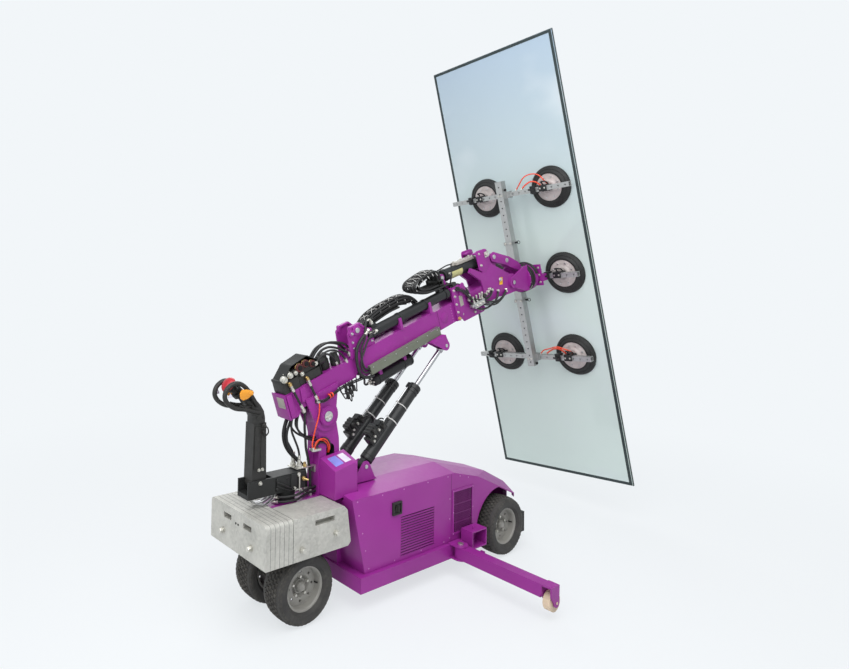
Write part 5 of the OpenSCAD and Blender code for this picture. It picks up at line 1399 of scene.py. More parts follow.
@dataclass
class Boom:
    """Outer boom with its valve block, cylinders, tank and hoses."""

    arch: list[Point] = field(default_factory=lambda: [
        (452, 0, 300), (470, 0, 348), (520, 0, 394), (600, 0, 424), (700, 0, 440), (800, 0, 448),
        (890, 0, 446),
        (970, 0, 426), (1026, 0, 384), (1060, 0, 334), (1092, 0, 290),
    ])
    bundle_y: tuple[float, ...] = (8.0, 22.0, 37.0, 51.0, 65.0)
    bundle_d: float = 15.0

    def build(self) -> None:
        """Dresses the boom's nodes and adds its equipment."""
        dress("boom", Finish.PURPLE)
        dress("boom_pin", Finish.STEEL)
        dress("side_channel", Finish.GREEN)
        dress("vacuum_tank", Finish.BLACK)
        dress("extend_barrel", Finish.BLACK)
        self._pivot_caps()
        self._rear_end()
        self._jumper_hoses()
        self._valve_cover()
        self._valve_group()
        self._ears()
        self._tank_fittings()
        self._telescope_fittings()
        self._sleeve_hoses()
        self._hose_arch()
        self._dropped_cables()
        self._mast_hoses()
        self._red_hose()

    @staticmethod
    def _pivot_caps() -> None:
        """Ringed bosses and keeper plates over the ends of the boom's pin."""
        work = Workpiece("pivot_caps", STANCE.boom(), Finish.STEEL)
        for s in (-1, 1):
            work.of(Finish.STEEL)
            work.turned((0, s * 89.2, 0), (0, s * 90, 0),
                        [(0, 31), (2.5, 31), (4, 29), (4, 17), (2.2, 15), (2.2, 0)], 40)
            work.of(Finish.PLATED)
            work.block((-24, min(s * 92, s * 96), -7), (24, max(s * 92, s * 96), 7), 1.2)
            for x in (-15, 15):
                work.bolt((x, s * 96, 0), (0, s, 0), 10)
            work.of(Finish.PURPLE)
            work.ring((0, s * 84.8, 0), (0, s * 88, 0), 52, 32, 48)
        work.finish("boom", "pin_steel")

    @staticmethod
    def _rear_end() -> None:
        """Rear face of the boom with its blank plate and side ribs."""
        work = Workpiece("rear_end_plates", STANCE.boom(), Finish.PURPLE)
        work.plate([[(-66, 92), (66, 92), (66, 246), (-66, 246)]], -252.5, -245.3, "x", 1.2)
        for s in (-1, 1):
            near, far = sorted((s * 55.2, s * 63))
            work.plate([[(-140, 150), (-100, 150), (-92, 236), (-132, 236)]], near, far, bevel=1.2)
            work.plate([[(-238, 96), (-206, 96), (-198, 236), (-238, 236)]], near, far, bevel=1.2)
        work.of(Finish.GREY_LABEL)
        work.block((-254, -48, 160), (-252.4, 22, 226), 0.4)
        for y, z in ((-44, 164), (-44, 222), (18, 164), (18, 222)):
            work.rivet((-254, y, z), (-1, 0, 0), 5)
        work.finish("boom", "hull_paint")

    @staticmethod
    def _jumper_hoses() -> None:
        """The two short hoses on the boom's flank, with their elbows."""
        work = Workpiece("jumper_hoses", STANCE.boom(), Finish.HOSE)
        for top, low in (((-196, -74, 288), (-156, -76, 112)), ((-66, -70, 268), (-40, -76, 118))):
            way = (Vector(low) - Vector(top)).normalized()
            work.of(Finish.HOSE)
            first = work.fitting(top, tuple(way), 15)
            last = work.fitting(low, tuple(-way), 15)
            work.hose([first, tuple((Vector(first) + Vector(last)) / 2), last], 15)
            work.of(Finish.BRASS)
            work.hexagon(top, tuple(Vector(top) - way * 16), 22)
            work.rod((top[0], top[1] + 4, top[2] + 12), (top[0], -50, top[2] + 12), 16, 16, 1)
            work.of(Finish.PLATED)
            work.hexagon(low, tuple(Vector(low) + way * 12), 24)
            work.rod((low[0], -82, low[2] - 6), (low[0], -52, low[2] - 6), 15, 16, 1)
        work.finish("boom", "hose_rubber")

    @staticmethod
    def _valve_cover() -> None:
        """Folded cover over the valves, open on its right side."""
        work = Workpiece("valve_cover", STANCE.boom(), Finish.SATIN_BLACK)
        outer = [(-236, 318), (-166, 372), *arc((-132, 350), 40, 126, 86, 5), (-30, 402),
                 *arc((-26, 374), 29, 92, 34, 5),
                 (50, 352), *arc((40, 336), 22, 34, -10, 4), (64, 300), (64, 250)]
        inner = [(x * 0.985 - 2.5, z - 4.5) for x, z in outer]
        work.prism(outer + inner[::-1], -50, 54)
        work.prism([*outer, (60, 246), (-236, 246)], 50, 54)
        work.block((-240, -52, 312), (-228, 54, 328), 2)
        work.finish("boom", "dark_steel", ["valve_box"])

    @staticmethod
    def _valve_group() -> None:
        """Manifold with cartridges, coils and the two motors behind it."""
        work = Workpiece("valve_manifold", STANCE.boom(), Finish.PLASTIC)
        work.block((-238, -56, 243.4), (-118, 48, 312), 4)
        work.block((-112, -46, 243.4), (58, 46, 300), 4)
        work.block((-150, -40, 300), (40, 46, 352), 5)
        work.of(Finish.PLATED)
        for u, v, d in ((-216, 330, 42), (-170, 338, 38)):
            cap = [(0, d * 0.4), (4, d / 2), (20, d / 2), (22, d * 0.42), (30, d * 0.42), (31, d * 0.3),
                   (38, d * 0.28)]
            work.turned((u, -34, v), (u, -35, v), cap, 28)
        for u, v in ((-128, 336), (-86, 312), (30, 330)):
            work.hexagon((u, -46, v), (u, -60, v), 26)
            work.rod((u, -60, v), (u, -68, v), 14, 16, 1)
        for u in (-190, -150):
            work.rod((u, -20, 312), (u, -20, 352), 12, 12, 1)
        for u, v, d in ((-88, 350, 52), (-38, 357, 48), (10, 337, 44)):
            work.of(Finish.COIL)
            work.turned((u, -20, v), (u, -21, v), [(0, d * 0.46), (3, d / 2), (30, d / 2), (33, d * 0.44)],
                        28)
            work.of(Finish.DARK)
            work.turned((u, -53, v), (u, -54, v), [(0, d * 0.3), (8, d * 0.28), (9, d * 0.1)], 20)
            work.of(Finish.BRASS)
            work.torus((u, -38, v), (0, 1, 0), d * 0.5, 3.5, 28)
        work.of(Finish.PLASTIC)
        work.rod((60, -30, 330), (104, -30, 330), 56, 24, 3)
        motor = [(0, 36), (6, 38), (60, 38), (66, 34), (92, 32), (97, 24), (104, 22)]
        work.turned((130, 16, 243.4), (130, 16, 300), motor, 32)
        work.turned((206, -10, 243.4), (206, -10, 300), [(0, 30), (5, 32), (48, 32), (54, 28), (76, 26),
                                                         (82, 18)], 28)
        for k in range(5):
            work.torus((130, 16, 262 + 9 * k), (0, 0, 1), 38.5, 3, 28)
        work.of(Finish.HOSE)
        for route, d in (
            ([(40, -44, 328), (68, -50, 346), (100, -58, 358), (134, -58, 346), (162, -52, 318),
              (182, -40, 290),
              (196, -30, 264)], 14),
            ([(40, -20, 328), (74, -22, 356), (114, -25, 376), (168, -30, 376), (222, -34, 350),
              (268, -39, 316),
              (302, -44, 280)], 15),
            ([(40, 10, 330), (76, 4, 364), (120, -2, 390), (182, -8, 396), (246, -16, 376), (300, -24, 344),
              (332, -30, 300)], 15),
            ([(40, 34, 328), (78, 35, 360), (122, 36, 382), (184, 36, 386), (252, 34, 364), (310, 34, 326),
              (341, 34, 274)], 15),
            ([(60, -30, 340), (130, -44, 362), (190, -52, 350), (232, -50, 312), (262, -46, 260)], 12),
        ):
            work.hose(route, d)
        work.of(Finish.PLATED)
        for spot in ((196, -30, 268), (300, -44, 290), (330, -30, 310), (340, 34, 282), (262, -46, 260)):
            work.hexagon(spot, (spot[0] + 6, spot[1], spot[2] - 26), 22)
        work.finish("boom", "ram_black")

    @staticmethod
    def _ears() -> None:
        """Round bosses, pin and bolts on the two ears over the sleeve's root."""
        work = Workpiece("ear_bosses", STANCE.boom(), Finish.PURPLE)
        for s in (-1, 1):
            work.of(Finish.PURPLE)
            for u, v, r in ((392, 404, 34), (344, 398, 22)):
                near, far = sorted((s * 62.2, s * 70))
                work.plate([arc((u, v), r, 0, 345, 23)], near, far, bevel=2.5)
            near, far = sorted((s * 40, s * 66))
            rim = [*arc((470, 386), 12, 40, 100, 3), (430, 442), (350, 442),
                   *arc((352, 430), 14, 110, 180, 4),
                   (333, 402), (344, 402), (356, 428), (424, 428), (462, 380)]
            work.plate([rim], near, far, bevel=2)
            work.of(Finish.STEEL)
            work.rod((392, s * 70, 404), (392, s * 77, 404), 34, 28, 1.5)
            work.bolt((344, s * 70, 398), (0, s, 0), 14)
            for u, v in ((340, 300), (340, 340), (500, 330), (500, 290)):
                work.bolt((u, s * 62.2, v), (0, s, 0), 12)
        work.finish("boom", "hull_paint")

    @staticmethod
    def _tank_fittings() -> None:
        """Bands, end bolts and the pipe of the vacuum tank, and the scraped edge of the hose channel."""
        work = Workpiece("tank_fittings", STANCE.boom(), Finish.BLACK)
        for u in (508, 760, 830):
            work.ring((u, 0, 8), (u + 14, 0, 8), 43.6, 41.1, 36)
        work.of(Finish.PLATED)
        for k in range(6):
            a = math.radians(60 * k)
            work.bolt((464.8, 27 * math.cos(a), 8 + 27 * math.sin(a)), (-1, 0, 0), 9)
        first = work.fitting((464.8, 0, 8), (-1, 0, 0), 14)
        work.of(Finish.STEEL)
        work.block((1010, -99, 153.2), (1106, -86, 154.6), 0.3)
        for i in range(7):
            work.rivet((430 + 108 * i, -98.2, 140), (0, -1, 0), 8)
        work.of(Finish.HOSE)
        work.hose([first, (410, -6, 10), (386, -22, 32), (372, -46, 62), (360, -60, 92), (330, -62, 110)], 14)
        work.finish("boom", "ram_black")

    @staticmethod
    def _telescope_fittings() -> None:
        """Ports, collars and bleed screws of the telescope cylinder."""
        work = Workpiece("telescope_fittings", STANCE.boom(), Finish.BLACK)
        for u in (520, 790, 1060, 1288):
            work.ring((u, -35, 330), (u + 16, -35, 330), 42.6 if u > 1200 else 39.6, 36.7, 36)
        work.block((530, -58, 362), (574, -12, 384), 3)
        work.block((1230, -56, 362), (1270, -14, 382), 3)
        work.of(Finish.PLATED)
        for u, y in ((500, -68), (524, -72), (548, -68)):
            work.hexagon((u, y + 6, 338), (u - 4, y - 8, 342), 22)
            work.rod((u - 4, y - 8, 342), (u - 10, y - 22, 348), 15, 14, 1)
        work.hexagon((552, -36, 384), (552, -36, 402), 24)
        work.hose([(552, -36, 400), (548, -38, 414), (530, -42, 422), (508, -46, 418)], 13)
        work.hexagon((1250, -36, 382), (1250, -36, 396), 22)
        work.of(Finish.HOSE)
        work.hose([(510, -46, 419), (488, -56, 412), (462, -72, 392), (440, -80, 366), (424, -84, 330)], 14)
        work.hose([(514, -92, 350), (486, -100, 350), (450, -98, 330), (424, -92, 300)], 13)
        work.finish("boom", "ram_black")

    @staticmethod
    def _sleeve_hoses() -> None:
        """The two hoses that lie on the sleeve and those that loop down its flank into the channel."""
        work = Workpiece("sleeve_hoses", STANCE.boom(), Finish.HOSE)
        for y, wave in ((40, (273, 273, 276, 273, 277, 273, 273)), (20, (273, 273, 277, 273, 276, 273, 273))):
            work.hose([(u, y, v) for u, v in zip((470, 560, 680, 800, 920, 1040, 1090), wave)], 18, sides=14)
            work.fitting((1116, y, 273), (-1, 0, 0), 14)
            work.fitting((438, y, 273), (1, 0, 0), 14)
        work.hose([(468, -74, 366), (420, -80, 350), (372, -80, 322), (338, -80, 280), (320, -83, 226),
                   (316, -84, 170),
                   (328, -84, 124), (360, -84, 96), (398, -84, 84), (430, -80, 82)], 20, sides=14)
        work.hose([(424, -92, 300), (392, -90, 262), (356, -88, 220), (342, -88, 172), (352, -88, 136),
                   (380, -86, 122),
                   (412, -84, 120)], 13)
        work.hose([(424, -84, 330), (388, -82, 290), (366, -84, 240), (360, -86, 190), (372, -86, 150),
                   (410, -84, 138)], 13)
        work.fitting((482, -72, 372), (-0.9, -0.2, -0.3), 18)
        work.finish("boom", "hose_rubber", ["boom_hoses"])

    def _hose_arch(self) -> None:
        """The arched bundle over the sleeve with its pale crossed lashing."""
        work = Workpiece("hose_arch", STANCE.boom(), Finish.HOSE)
        for k, y in enumerate(self.bundle_y):
            sway = (2, -5, 4, -3, 3)[k]
            work.hose([(u + sway, y + sway * math.sin(u / 90), v + sway + 3 * math.sin(u / 60 + k))
                       for u, _, v in self.arch], self.bundle_d, sides=10)
        for layer in range(1, 5):
            for k, y in enumerate((2, 17, 32, 47, 60)):
                sway = (-3, 3, -2, 4, -4)[(k + layer) % 5]
                work.hose([(u + sway - 4 * layer, y + 3 * layer - 6, v - 15 * layer + sway)
                           for u, _, v in self.arch[1:-2 - layer // 2]], self.bundle_d, sides=8)
        work.of(Finish.WRAP)
        self.lash(work, self.arch[1:-1], min(self.bundle_y) - 10, max(self.bundle_y) + 10, 9)
        work.finish("boom", "hose_rubber")

    @staticmethod
    def lash(work: Workpiece, arch: Sequence[Point], low: float, high: float, turns: int) -> None:
        """Winds pale cord crosswise over a bundle.

        Args:
            work: the bundle's piece.
            arch: the bundle's middle line.
            low: the bundle's right side.
            high: its left side.
            turns: crossings in each direction.
        """
        curve = smooth_route(arch, 8)
        last = len(curve) - 1
        for lean in (-1, 1):
            for i in range(turns):
                start = int((i + 0.3) * last / turns)
                stop = max(0, min(last, start + lean * int(last / turns)))
                points = []
                for share in (0.0, 0.12, 0.3, 0.5, 0.7, 0.88, 1.0):
                    spot = curve[start].lerp(curve[stop], share)
                    rise = 12 - 42 * abs(2 * share - 1) ** 4
                    points.append((spot.x, low + (high - low) * share, spot.z + rise))
                work.hose(points, 4.2, steps=3, sides=6)

    @staticmethod
    def _dropped_cables() -> None:
        """Thin hoses along the tube's lower edge and the plugs that hang under the boom."""
        work = Workpiece("hanging_cables", STANCE.boom(), Finish.HOSE)
        for dy, dv in ((0, 0), (-9, 5), (-3, -9)):
            work.hose([(-56, -64 + dy, 122 + dv), (-10, -92 + dy, 112 + dv), (60, -74 + dy, 108 + dv),
                       (150, -70 + dy, 116 + dv), (230, -66 + dy, 112 + dv), (300, -66 + dy, 104 + dv),
                       (360, -60 + dy, 96 + dv)], 9, sides=9)
        for k, (u, y, sag) in enumerate(((196, -40, 82), (226, -46, 110), (252, -34, 96), (282, -46, 70),
                                         (206, -20, 60))):
            work.hose([(u - 30, y, 122), (u - 22, y - 6, 60), (u - 6 + 3 * k, y - 8, 102 - sag),
                       (u + 12, y - 2, 116 - sag),
                       (u + 26, y + 6, 66), (u + 34, y + 4, 122)], 8, sides=8)
        work.of(Finish.PLASTIC)
        for u, y, v, length in ((214, -46, 8, 46), (246, -38, 24, 40), (270, -50, 40, 36)):
            work.block((u - 9, y - 9, v), (u + 9, y + 9, v + length), 3)
            work.rod((u, y, v + length), (u, y, 124), 10, 12, 1)
        work.of(Finish.RED_HOSE)
        for u in (46, 68):
            work.ring((u, -76, 108), (u + 9, -76, 108), 16, 10, 16)
        work.finish("boom", "hose_rubber")

    @staticmethod
    def _mast_hoses() -> None:
        """The hoses that rise behind the mast into the boom's rear end."""
        work = Workpiece("rising_hoses", STANCE.machine(), Finish.HOSE)
        foot = 632.4
        work.hose([(172, 44, foot), (172, 44, 664), (170, 44, 710), (160, 42, 766), (140, 42, 814),
                   (100, 38, 852),
                   (56, 34, 894), (24, 32, 938), (8, 32, 984), (8, 33, 1030), (24, 36, 1080), (48, 40, 1130)],
                   22, sides=14)
        work.hose([(170, 14, foot), (170, 14, 664), (169, 14, 700), (164, 14, 750), (148, 14, 800),
                   (112, 12, 842),
                   (66, 10, 884), (32, 10, 930), (16, 12, 984), (18, 12, 1030), (40, 14, 1082),
                   (70, 16, 1134)], 16)
        work.hose([(174, -20, foot), (174, -20, 664), (174, -20, 700), (170, -22, 770), (152, -26, 850),
                   (132, -28, 920),
                   (124, -30, 984), (116, -32, 1040), (114, -34, 1100), (118, -36, 1170)], 16)
        for x, y, d in ((172, 44, 22), (170, 14, 16), (174, -20, 16)):
            work.fitting((x, y, foot), (0, 0, 1), d)
        work.finish_across(("chassis", "boom"), ["mast_hoses"])
        down = Workpiece("return_hoses", STANCE.machine(), Finish.HOSE)
        down.hose([(90, 44, 846), (86, 44, 880), (56, 42, 930), (28, 42, 980), (20, 42, 1030), (34, 42, 1080),
                   (62, 42, 1134)], 20, sides=14)
        down.hose([(96, -10, 846), (96, -10, 880), (84, -10, 926), (56, -12, 984), (34, -14, 1030),
                   (30, -14, 1080),
                   (44, -14, 1134)], 13)
        down.fitting((90, 44, 845), (0, 0, 1), 18)
        down.fitting((96, -10, 845), (0, 0, 1), 13)
        down.finish_across(("chassis", "boom"))
        short = Workpiece("mast_entry_hoses", STANCE.machine(), Finish.HOSE)
        for y, lift in ((-38, 0), (-22, 12), (34, 6)):
            short.hose([(66, y, 1138 + lift), (54, y, 1096), (58, y, 1050 + lift), (88, y, 1010 + lift),
                        (130, y, 982 + lift), (170, y, 968 + lift), (212, y, 962 + lift)], 13)
        short.finish_across(("chassis", "boom"))

    @staticmethod
    def _red_hose() -> None:
        """The red air hose from the boom's flank into the mast's arched opening, with dark ones beside it."""
        work = Workpiece("red_air_line", STANCE.machine(), Finish.RED_HOSE)
        work.hose([(182, -66, 1232), (186, -84, 1190), (180, -86, 1120), (162, -84, 1060), (148, -80, 1000),
                   (142, -76, 956), (150, -74, 928), (170, -74, 920)], 9, sides=10)
        work.hose([(160, -74, 922), (170, -78, 962), (206, -80, 978), (244, -78, 968), (272, -72, 940),
                   (288, -62, 908),
                   (294, -44, 876)], 8, sides=10)
        work.hose([(166, -66, 930), (196, -70, 966), (232, -72, 962), (262, -68, 938), (282, -56, 904),
                   (288, -36, 876)], 7,
                  sides=10)
        work.finish_across(("chassis", "boom"))
        dark = Workpiece("arch_hoses", STANCE.machine(), Finish.HOSE)
        dark.hose([(176, -50, 936), (206, -62, 968), (250, -68, 972), (286, -62, 942), (304, -46, 902),
                   (306, -26, 868)], 14)
        dark.hose([(176, -40, 920), (214, -60, 950), (252, -64, 944), (282, -54, 914), (292, -30, 874)], 13)
        dark.of(Finish.PLATED)
        dark.block((150, -82, 908), (207.6, -36, 922), 2)
        dark.hexagon((150, -74, 910), (150, -74, 932), 16)
        dark.finish("chassis", "hose_rubber")


@dataclass
class Rams:
    """The two luffing rams with their valve blocks and pipes."""

    block_x: tuple[float, float] = (130.0, 292.0)

    def build(self) -> None:
        """Dresses the rams and adds their plumbing."""
        dress("ram_rods", Finish.CHROME)
        dress("ram_barrels", Finish.BLACK)
        for side, name in ((1, "left"), (-1, "right")):
            self._plumbing(side, name)

    def _plumbing(self, side: int, name: str) -> None:
        """Valve ribs, pipe and collars of one ram.

        Args:
            side: 1 for the left ram, -1 for the right one.
            name: left or right.
        """
        work = Workpiece(f"ram_valves_{name}", STANCE.ram(side), Finish.PLASTIC)
        low, high = self.block_x
        for k in range(8):
            work.block((low + 4 + 20 * k, -31, 42), (low + 12 + 20 * k, 31, 91), 1.5)
        for k in range(3):
            work.block((158 + 24 * k, -28.5, 92), (168 + 24 * k, 28.5, 127), 1.5)
        work.rod((192, -26, 108), (192, -50, 108), 30, 20, 2)
        work.rod((262, -28, 66), (262, -52, 66), 26, 20, 2)
        work.of(Finish.PLATED)
        for x, z in ((152, 60), (176, 78), (226, 80)):
            work.hexagon((x, -28, z), (x, -40, z), 16)
        work.hexagon((high, 0, 60), (high + 12, 0, 60), 22)
        work.of(Finish.STEEL)
        work.hose([(high + 10, 0, 60), (330, 0, 60), (360, 0, 56), (420, 0, 54), (520, 0, 54), (580, 0, 54),
                   (606, 0, 50),
                   (618, 0, 38)], 11, sides=12)
        work.of(Finish.WRAP)
        for x in (346, 470):
            work.ring((x, 0, 0), (x + 7, 0, 0), 41.6, 40.2, 36)
            work.block((x - 2, -8, 40), (x + 9, 8, 62), 1.5)
        work.of(Finish.BLACK)
        for x in (70, 596):
            work.ring((x, 0, 0), (x + 16, 0, 0), 43, 40.1, 36)
        work.block((600, -14, 40), (640, 14, 62), 3)
        work.of(Finish.HOSE)
        inward = -side
        work.hose([(280, inward * 26, 66), (310, inward * 44, 62), (336, inward * 46, 34),
                   (330, inward * 46, -4),
                   (290, inward * 42, -22), (240, inward * 38, -12)], 9)
        work.finish("ram_barrels", "ram_black")


@dataclass
class Jib:
    """Inner boom, the tilt cylinder, its rocker and link, and the head bracket."""

    loop: list[Point] = field(default_factory=lambda: [
        (1392, 0, 374), (1330, 0, 388), (1240, 0, 396), (1150, 0, 402), (1076, 0, 418), (1014, 0, 444),
        (994, 0, 478),
        (1022, 0, 506), (1090, 0, 522), (1160, 0, 530), (1218, 0, 528), (1252, 0, 506), (1262, 0, 474),
        (1262, 0, 448),
    ])
    inner: list[Point] = field(default_factory=lambda: [
        (1262, 0, 416), (1190, 0, 418), (1120, 0, 424), (1062, 0, 440), (1040, 0, 466), (1060, 0, 490),
        (1116, 0, 504),
        (1176, 0, 508), (1222, 0, 500), (1244, 0, 476), (1250, 0, 448),
    ])
    strand_y: tuple[float, ...] = (-58.0, -42.0, -26.0, -10.0, 6.0, 22.0, 38.0, 54.0)

    def build(self) -> None:
        """Dresses the head's nodes and adds its equipment."""
        dress("inner_boom", Finish.PURPLE, Finish.STEEL, place=STANCE.boom(),
              choose=lambda p: 1 if math.hypot(p.x - 1915, p.z - 235) < 17 and abs(p.y) > 69.9 else 0)
        dress("extend_rod", Finish.CHROME)
        dress("tilt_barrel", Finish.BLACK, Finish.STEEL, place=STANCE.tilt(),
              choose=lambda p: 1 if abs(p.y) > 24.1 and math.hypot(p.x, p.z) < 17 else 0)
        dress("tilt_rod", Finish.CHROME)
        dress("tilt_rocker", Finish.PURPLE, Finish.STEEL, place=STANCE.boom(),
              choose=lambda p: int(abs(p.y) > 34.1))
        dress("tilt_link", Finish.PURPLE)
        dress("slew_bracket", Finish.PURPLE, Finish.STEEL, place=STANCE.slew(), choose=self._bracket_finish)
        dress("slew_drive", Finish.BLACK)
        self._neck()
        self._loop_bundle()
        self._tilt_details()
        self._head_hoses()
        self._jib_valve()
        self._head_plates()
        self._link_caps()
        self._ring_details()

    @staticmethod
    def _bracket_finish(p: Vector) -> int:
        """The bracket's pins are steel, the rest is painted.

        Args:
            p: the face's middle.

        Returns:
            The finish's number.
        """
        tilt_pin = abs(p.y) > 85.2 and p.x < -400 and abs(p.z) < 60
        link_pin = 34.1 < abs(p.y) < 60 and p.z > 90
        return int(tilt_pin or link_pin)

    @staticmethod
    def _neck() -> None:
        """Wear pad caps, collar plates, clamp bolts and the blank grey panel of the jib."""
        work = Workpiece("neck_plates", STANCE.boom(), Finish.PURPLE)
        for s in (-1, 1):
            work.turned((1218, s * 59, 178), (1218, s * 60, 178), [(0, 38), (1.6, 38), (2.4, 36.5), (2.4, 0)],
                        48)
            near, far = sorted((s * 69.3, s * 77))
            work.plate([[(1336, 108), (1372, 100), (1380, 352), (1336, 352)]], near, far, bevel=1.4)
            work.plate([[(1408, 282), (1436, 350), *arc((1462, 342), 20, 100, 0, 5), (1492, 300),
                         (1452, 260)]], near, far,
                       bevel=2)
        work.of(Finish.SEAM)
        work.block((1154, -59.6, 106), (1158, -59, 252))
        # Rivet heads in purple lightened as painted highlight.
        work.of(Finish.SCREW_PAINT_AND_HIGHLIGHT)
        for k in range(7):
            work.rivet((1306, -59, 118 + 20 * k), (0, -1, 0), 6)
        work.of(Finish.GREY_LABEL)
        work.block((1404, -71.2, 196), (1442, -69.2, 276), 0.5)
        work.of(Finish.BRASS)
        work.bolt((1354, -77.2, 122), (0, -1, 0), 20)
        work.of(Finish.PLATED)
        for v in (170, 230, 290, 336):
            work.bolt((1354, -77.2, v), (0, -1, 0), 14)
        for u, v in ((1418, 132), (1560, 96), (1640, 88)):
            work.bolt((u, -59.2, v), (0, -1, 0), 15)
        work.finish("inner_boom", "hull_paint")

    def _loop_bundle(self) -> None:
        """The hose loop that follows the jib, with its lashing and the block that holds it."""
        work = Workpiece("hose_loop", STANCE.boom(), Finish.HOSE)
        for k, y in enumerate(self.strand_y):
            sway = (1, -4, 3, -2, 4, -3, 2, -1)[k]
            work.hose([(u + sway, y, v + sway + 2.5 * math.sin(u / 50 + k)) for u, _, v in self.loop], 15,
                      sides=10)
            if k < 7:
                work.hose([(u - sway, y + 8, v + sway) for u, _, v in self.inner], 15, sides=8)
        work.of(Finish.WRAP)
        Boom.lash(work, self.loop[6:12], min(self.strand_y) - 10, max(self.strand_y) + 10, 6)
        work.of(Finish.PLASTIC)
        for near, far in ((-66, -37), (37, 66)):
            work.block((1240, near, 410), (1285.6, far, 450), 4)
            work.block((1372, near, 358.4), (1412, far, 386), 3)
        work.block((1240, -66, 416), (1270, 66, 448), 4)
        work.finish("inner_boom", "hose_rubber")

    @staticmethod
    def _tilt_details() -> None:
        """Blank label, port clamp and pipes of the tilt cylinder."""
        work = Workpiece("tilt_barrel_trim", STANCE.tilt(), Finish.STRAW_LABEL)
        turn = [(r, math.radians(a)) for r, sweep in ((44.6, range(200, 291, 10)),
                                                      (43.6, range(290, 199, -10))) for a in sweep]
        work.skin([[Vector((x, r * math.sin(a), r * math.cos(a))) for r, a in turn] for x in (112, 236)])
        work.of(Finish.GREY_LABEL)
        work.block((196, -30, 41), (420, 30, 62), 4)
        work.block((168, -12, 42), (200, 12, 56), 3)
        work.of(Finish.PLATED)
        for x in (214, 300, 400):
            for y in (-16, 16):
                work.bolt((x, y, 62), (0, 0, 1), 13)
        work.hexagon((80, -43, 10), (80, -56, 10), 20)
        work.of(Finish.BLACK)
        for x in (60, 398):
            work.ring((x, 0, 0), (x + 14, 0, 0), 47, 44.1, 40)
        work.of(Finish.HOSE)
        work.hose([(80, -54, 10), (76, -66, 6), (60, -70, -16), (50, -66, -44), (60, -56, -66)], 11)
        work.hose([(180, 0, 52), (150, 4, 60), (110, 12, 58), (60, 20, 48), (16, 44, 30), (-20, 50, -4)], 10)
        work.finish("tilt_barrel", "ram_black")

    @staticmethod
    def _head_hoses() -> None:
        """The hoses that run over the neck into the valve on the jib's side, and on to the head."""
        work = Workpiece("jib_hoses", STANCE.boom(), Finish.HOSE)
        work.hose([(1500, -72, 210), (1530, -82, 160), (1570, -88, 120), (1620, -92, 98), (1680, -92, 90),
                   (1740, -92, 94),
                   (1800, -88, 110), (1836, -84, 132), (1860, -76, 160)], 15)
        work.hose([(1510, -72, 240), (1550, -84, 206), (1600, -92, 180), (1650, -94, 164), (1700, -92, 160),
                   (1750, -88, 168), (1790, -76, 190)], 15)
        for k in range(5):
            y = -52 - 8 * k
            work.hose([(1352 + 6 * k, y, 362 - 8 * k), (1400 + 4 * k, y - 2, 368 - 13 * k),
                       (1452, y - 4, 352 - 17 * k),
                       (1500 - 4 * k, y - 6, 316 - 18 * k), (1532 - 6 * k, y - 6, 272 - 14 * k),
                       (1548 - 3 * k, y - 4, 226 - 6 * k), (1560, -92, 180)], 12, sides=10)
        for k in range(3):
            work.hose([(1640, -92, 150 - 12 * k), (1700, -100 - 3 * k, 132 - 14 * k),
                       (1770, -100, 108 - 12 * k),
                       (1850, -92, 100 - 6 * k), (1920, -84, 118 - 6 * k), (1960, -76, 138 - 8 * k)], 11,
                       sides=10)
        work.of(Finish.PLATED)
        for u, v in ((1500, 214), (1510, 244), (1860, 162), (1790, 192)):
            work.hexagon((u, -69.2, v), (u, -84, v), 22)
        for k in range(3):
            work.hexagon((1956, -69.6, 138 - 8 * k), (1966, -84, 138 - 8 * k), 14)
        work.finish("inner_boom", "hose_rubber", ["head_hoses"])

    @staticmethod
    def _jib_valve() -> None:
        """Valve block with its cartridges and stubs on the side of the jib."""
        work = Workpiece("jib_valve", STANCE.boom(), Finish.ALUMINIUM)
        work.block((1524, -104, 134), (1648, -69.4, 176), 3)
        work.block((1500, -100, 150), (1530, -69.4, 170), 3)
        work.of(Finish.PLATED)
        for u, lean in ((1540, -6), (1574, 2), (1610, 8), (1636, 12)):
            work.hexagon((u, -88, 176), (u + lean * 0.3, -88, 188), 18)
            work.rod((u + lean * 0.3, -88, 188), (u + lean, -88, 214), 12, 14, 1)
            work.hexagon((u + lean, -88, 214), (u + lean * 1.3, -88, 226), 16)
        for u in (1548, 1586, 1624):
            work.hexagon((u, -104, 154), (u, -114, 154), 18)
        for u, v in ((1700, 186), (1730, 196), (1756, 206)):
            work.hexagon((u, -69.4, v), (u + 8, -92, v + 4), 22)
        work.of(Finish.PLASTIC)
        work.rod((1664, -69.4, 190), (1664, -104, 190), 34, 24, 3)
        work.rod((1646, -88, 158), (1676, -88, 158), 26, 20, 2)
        work.finish("inner_boom", "zinc_bolts")

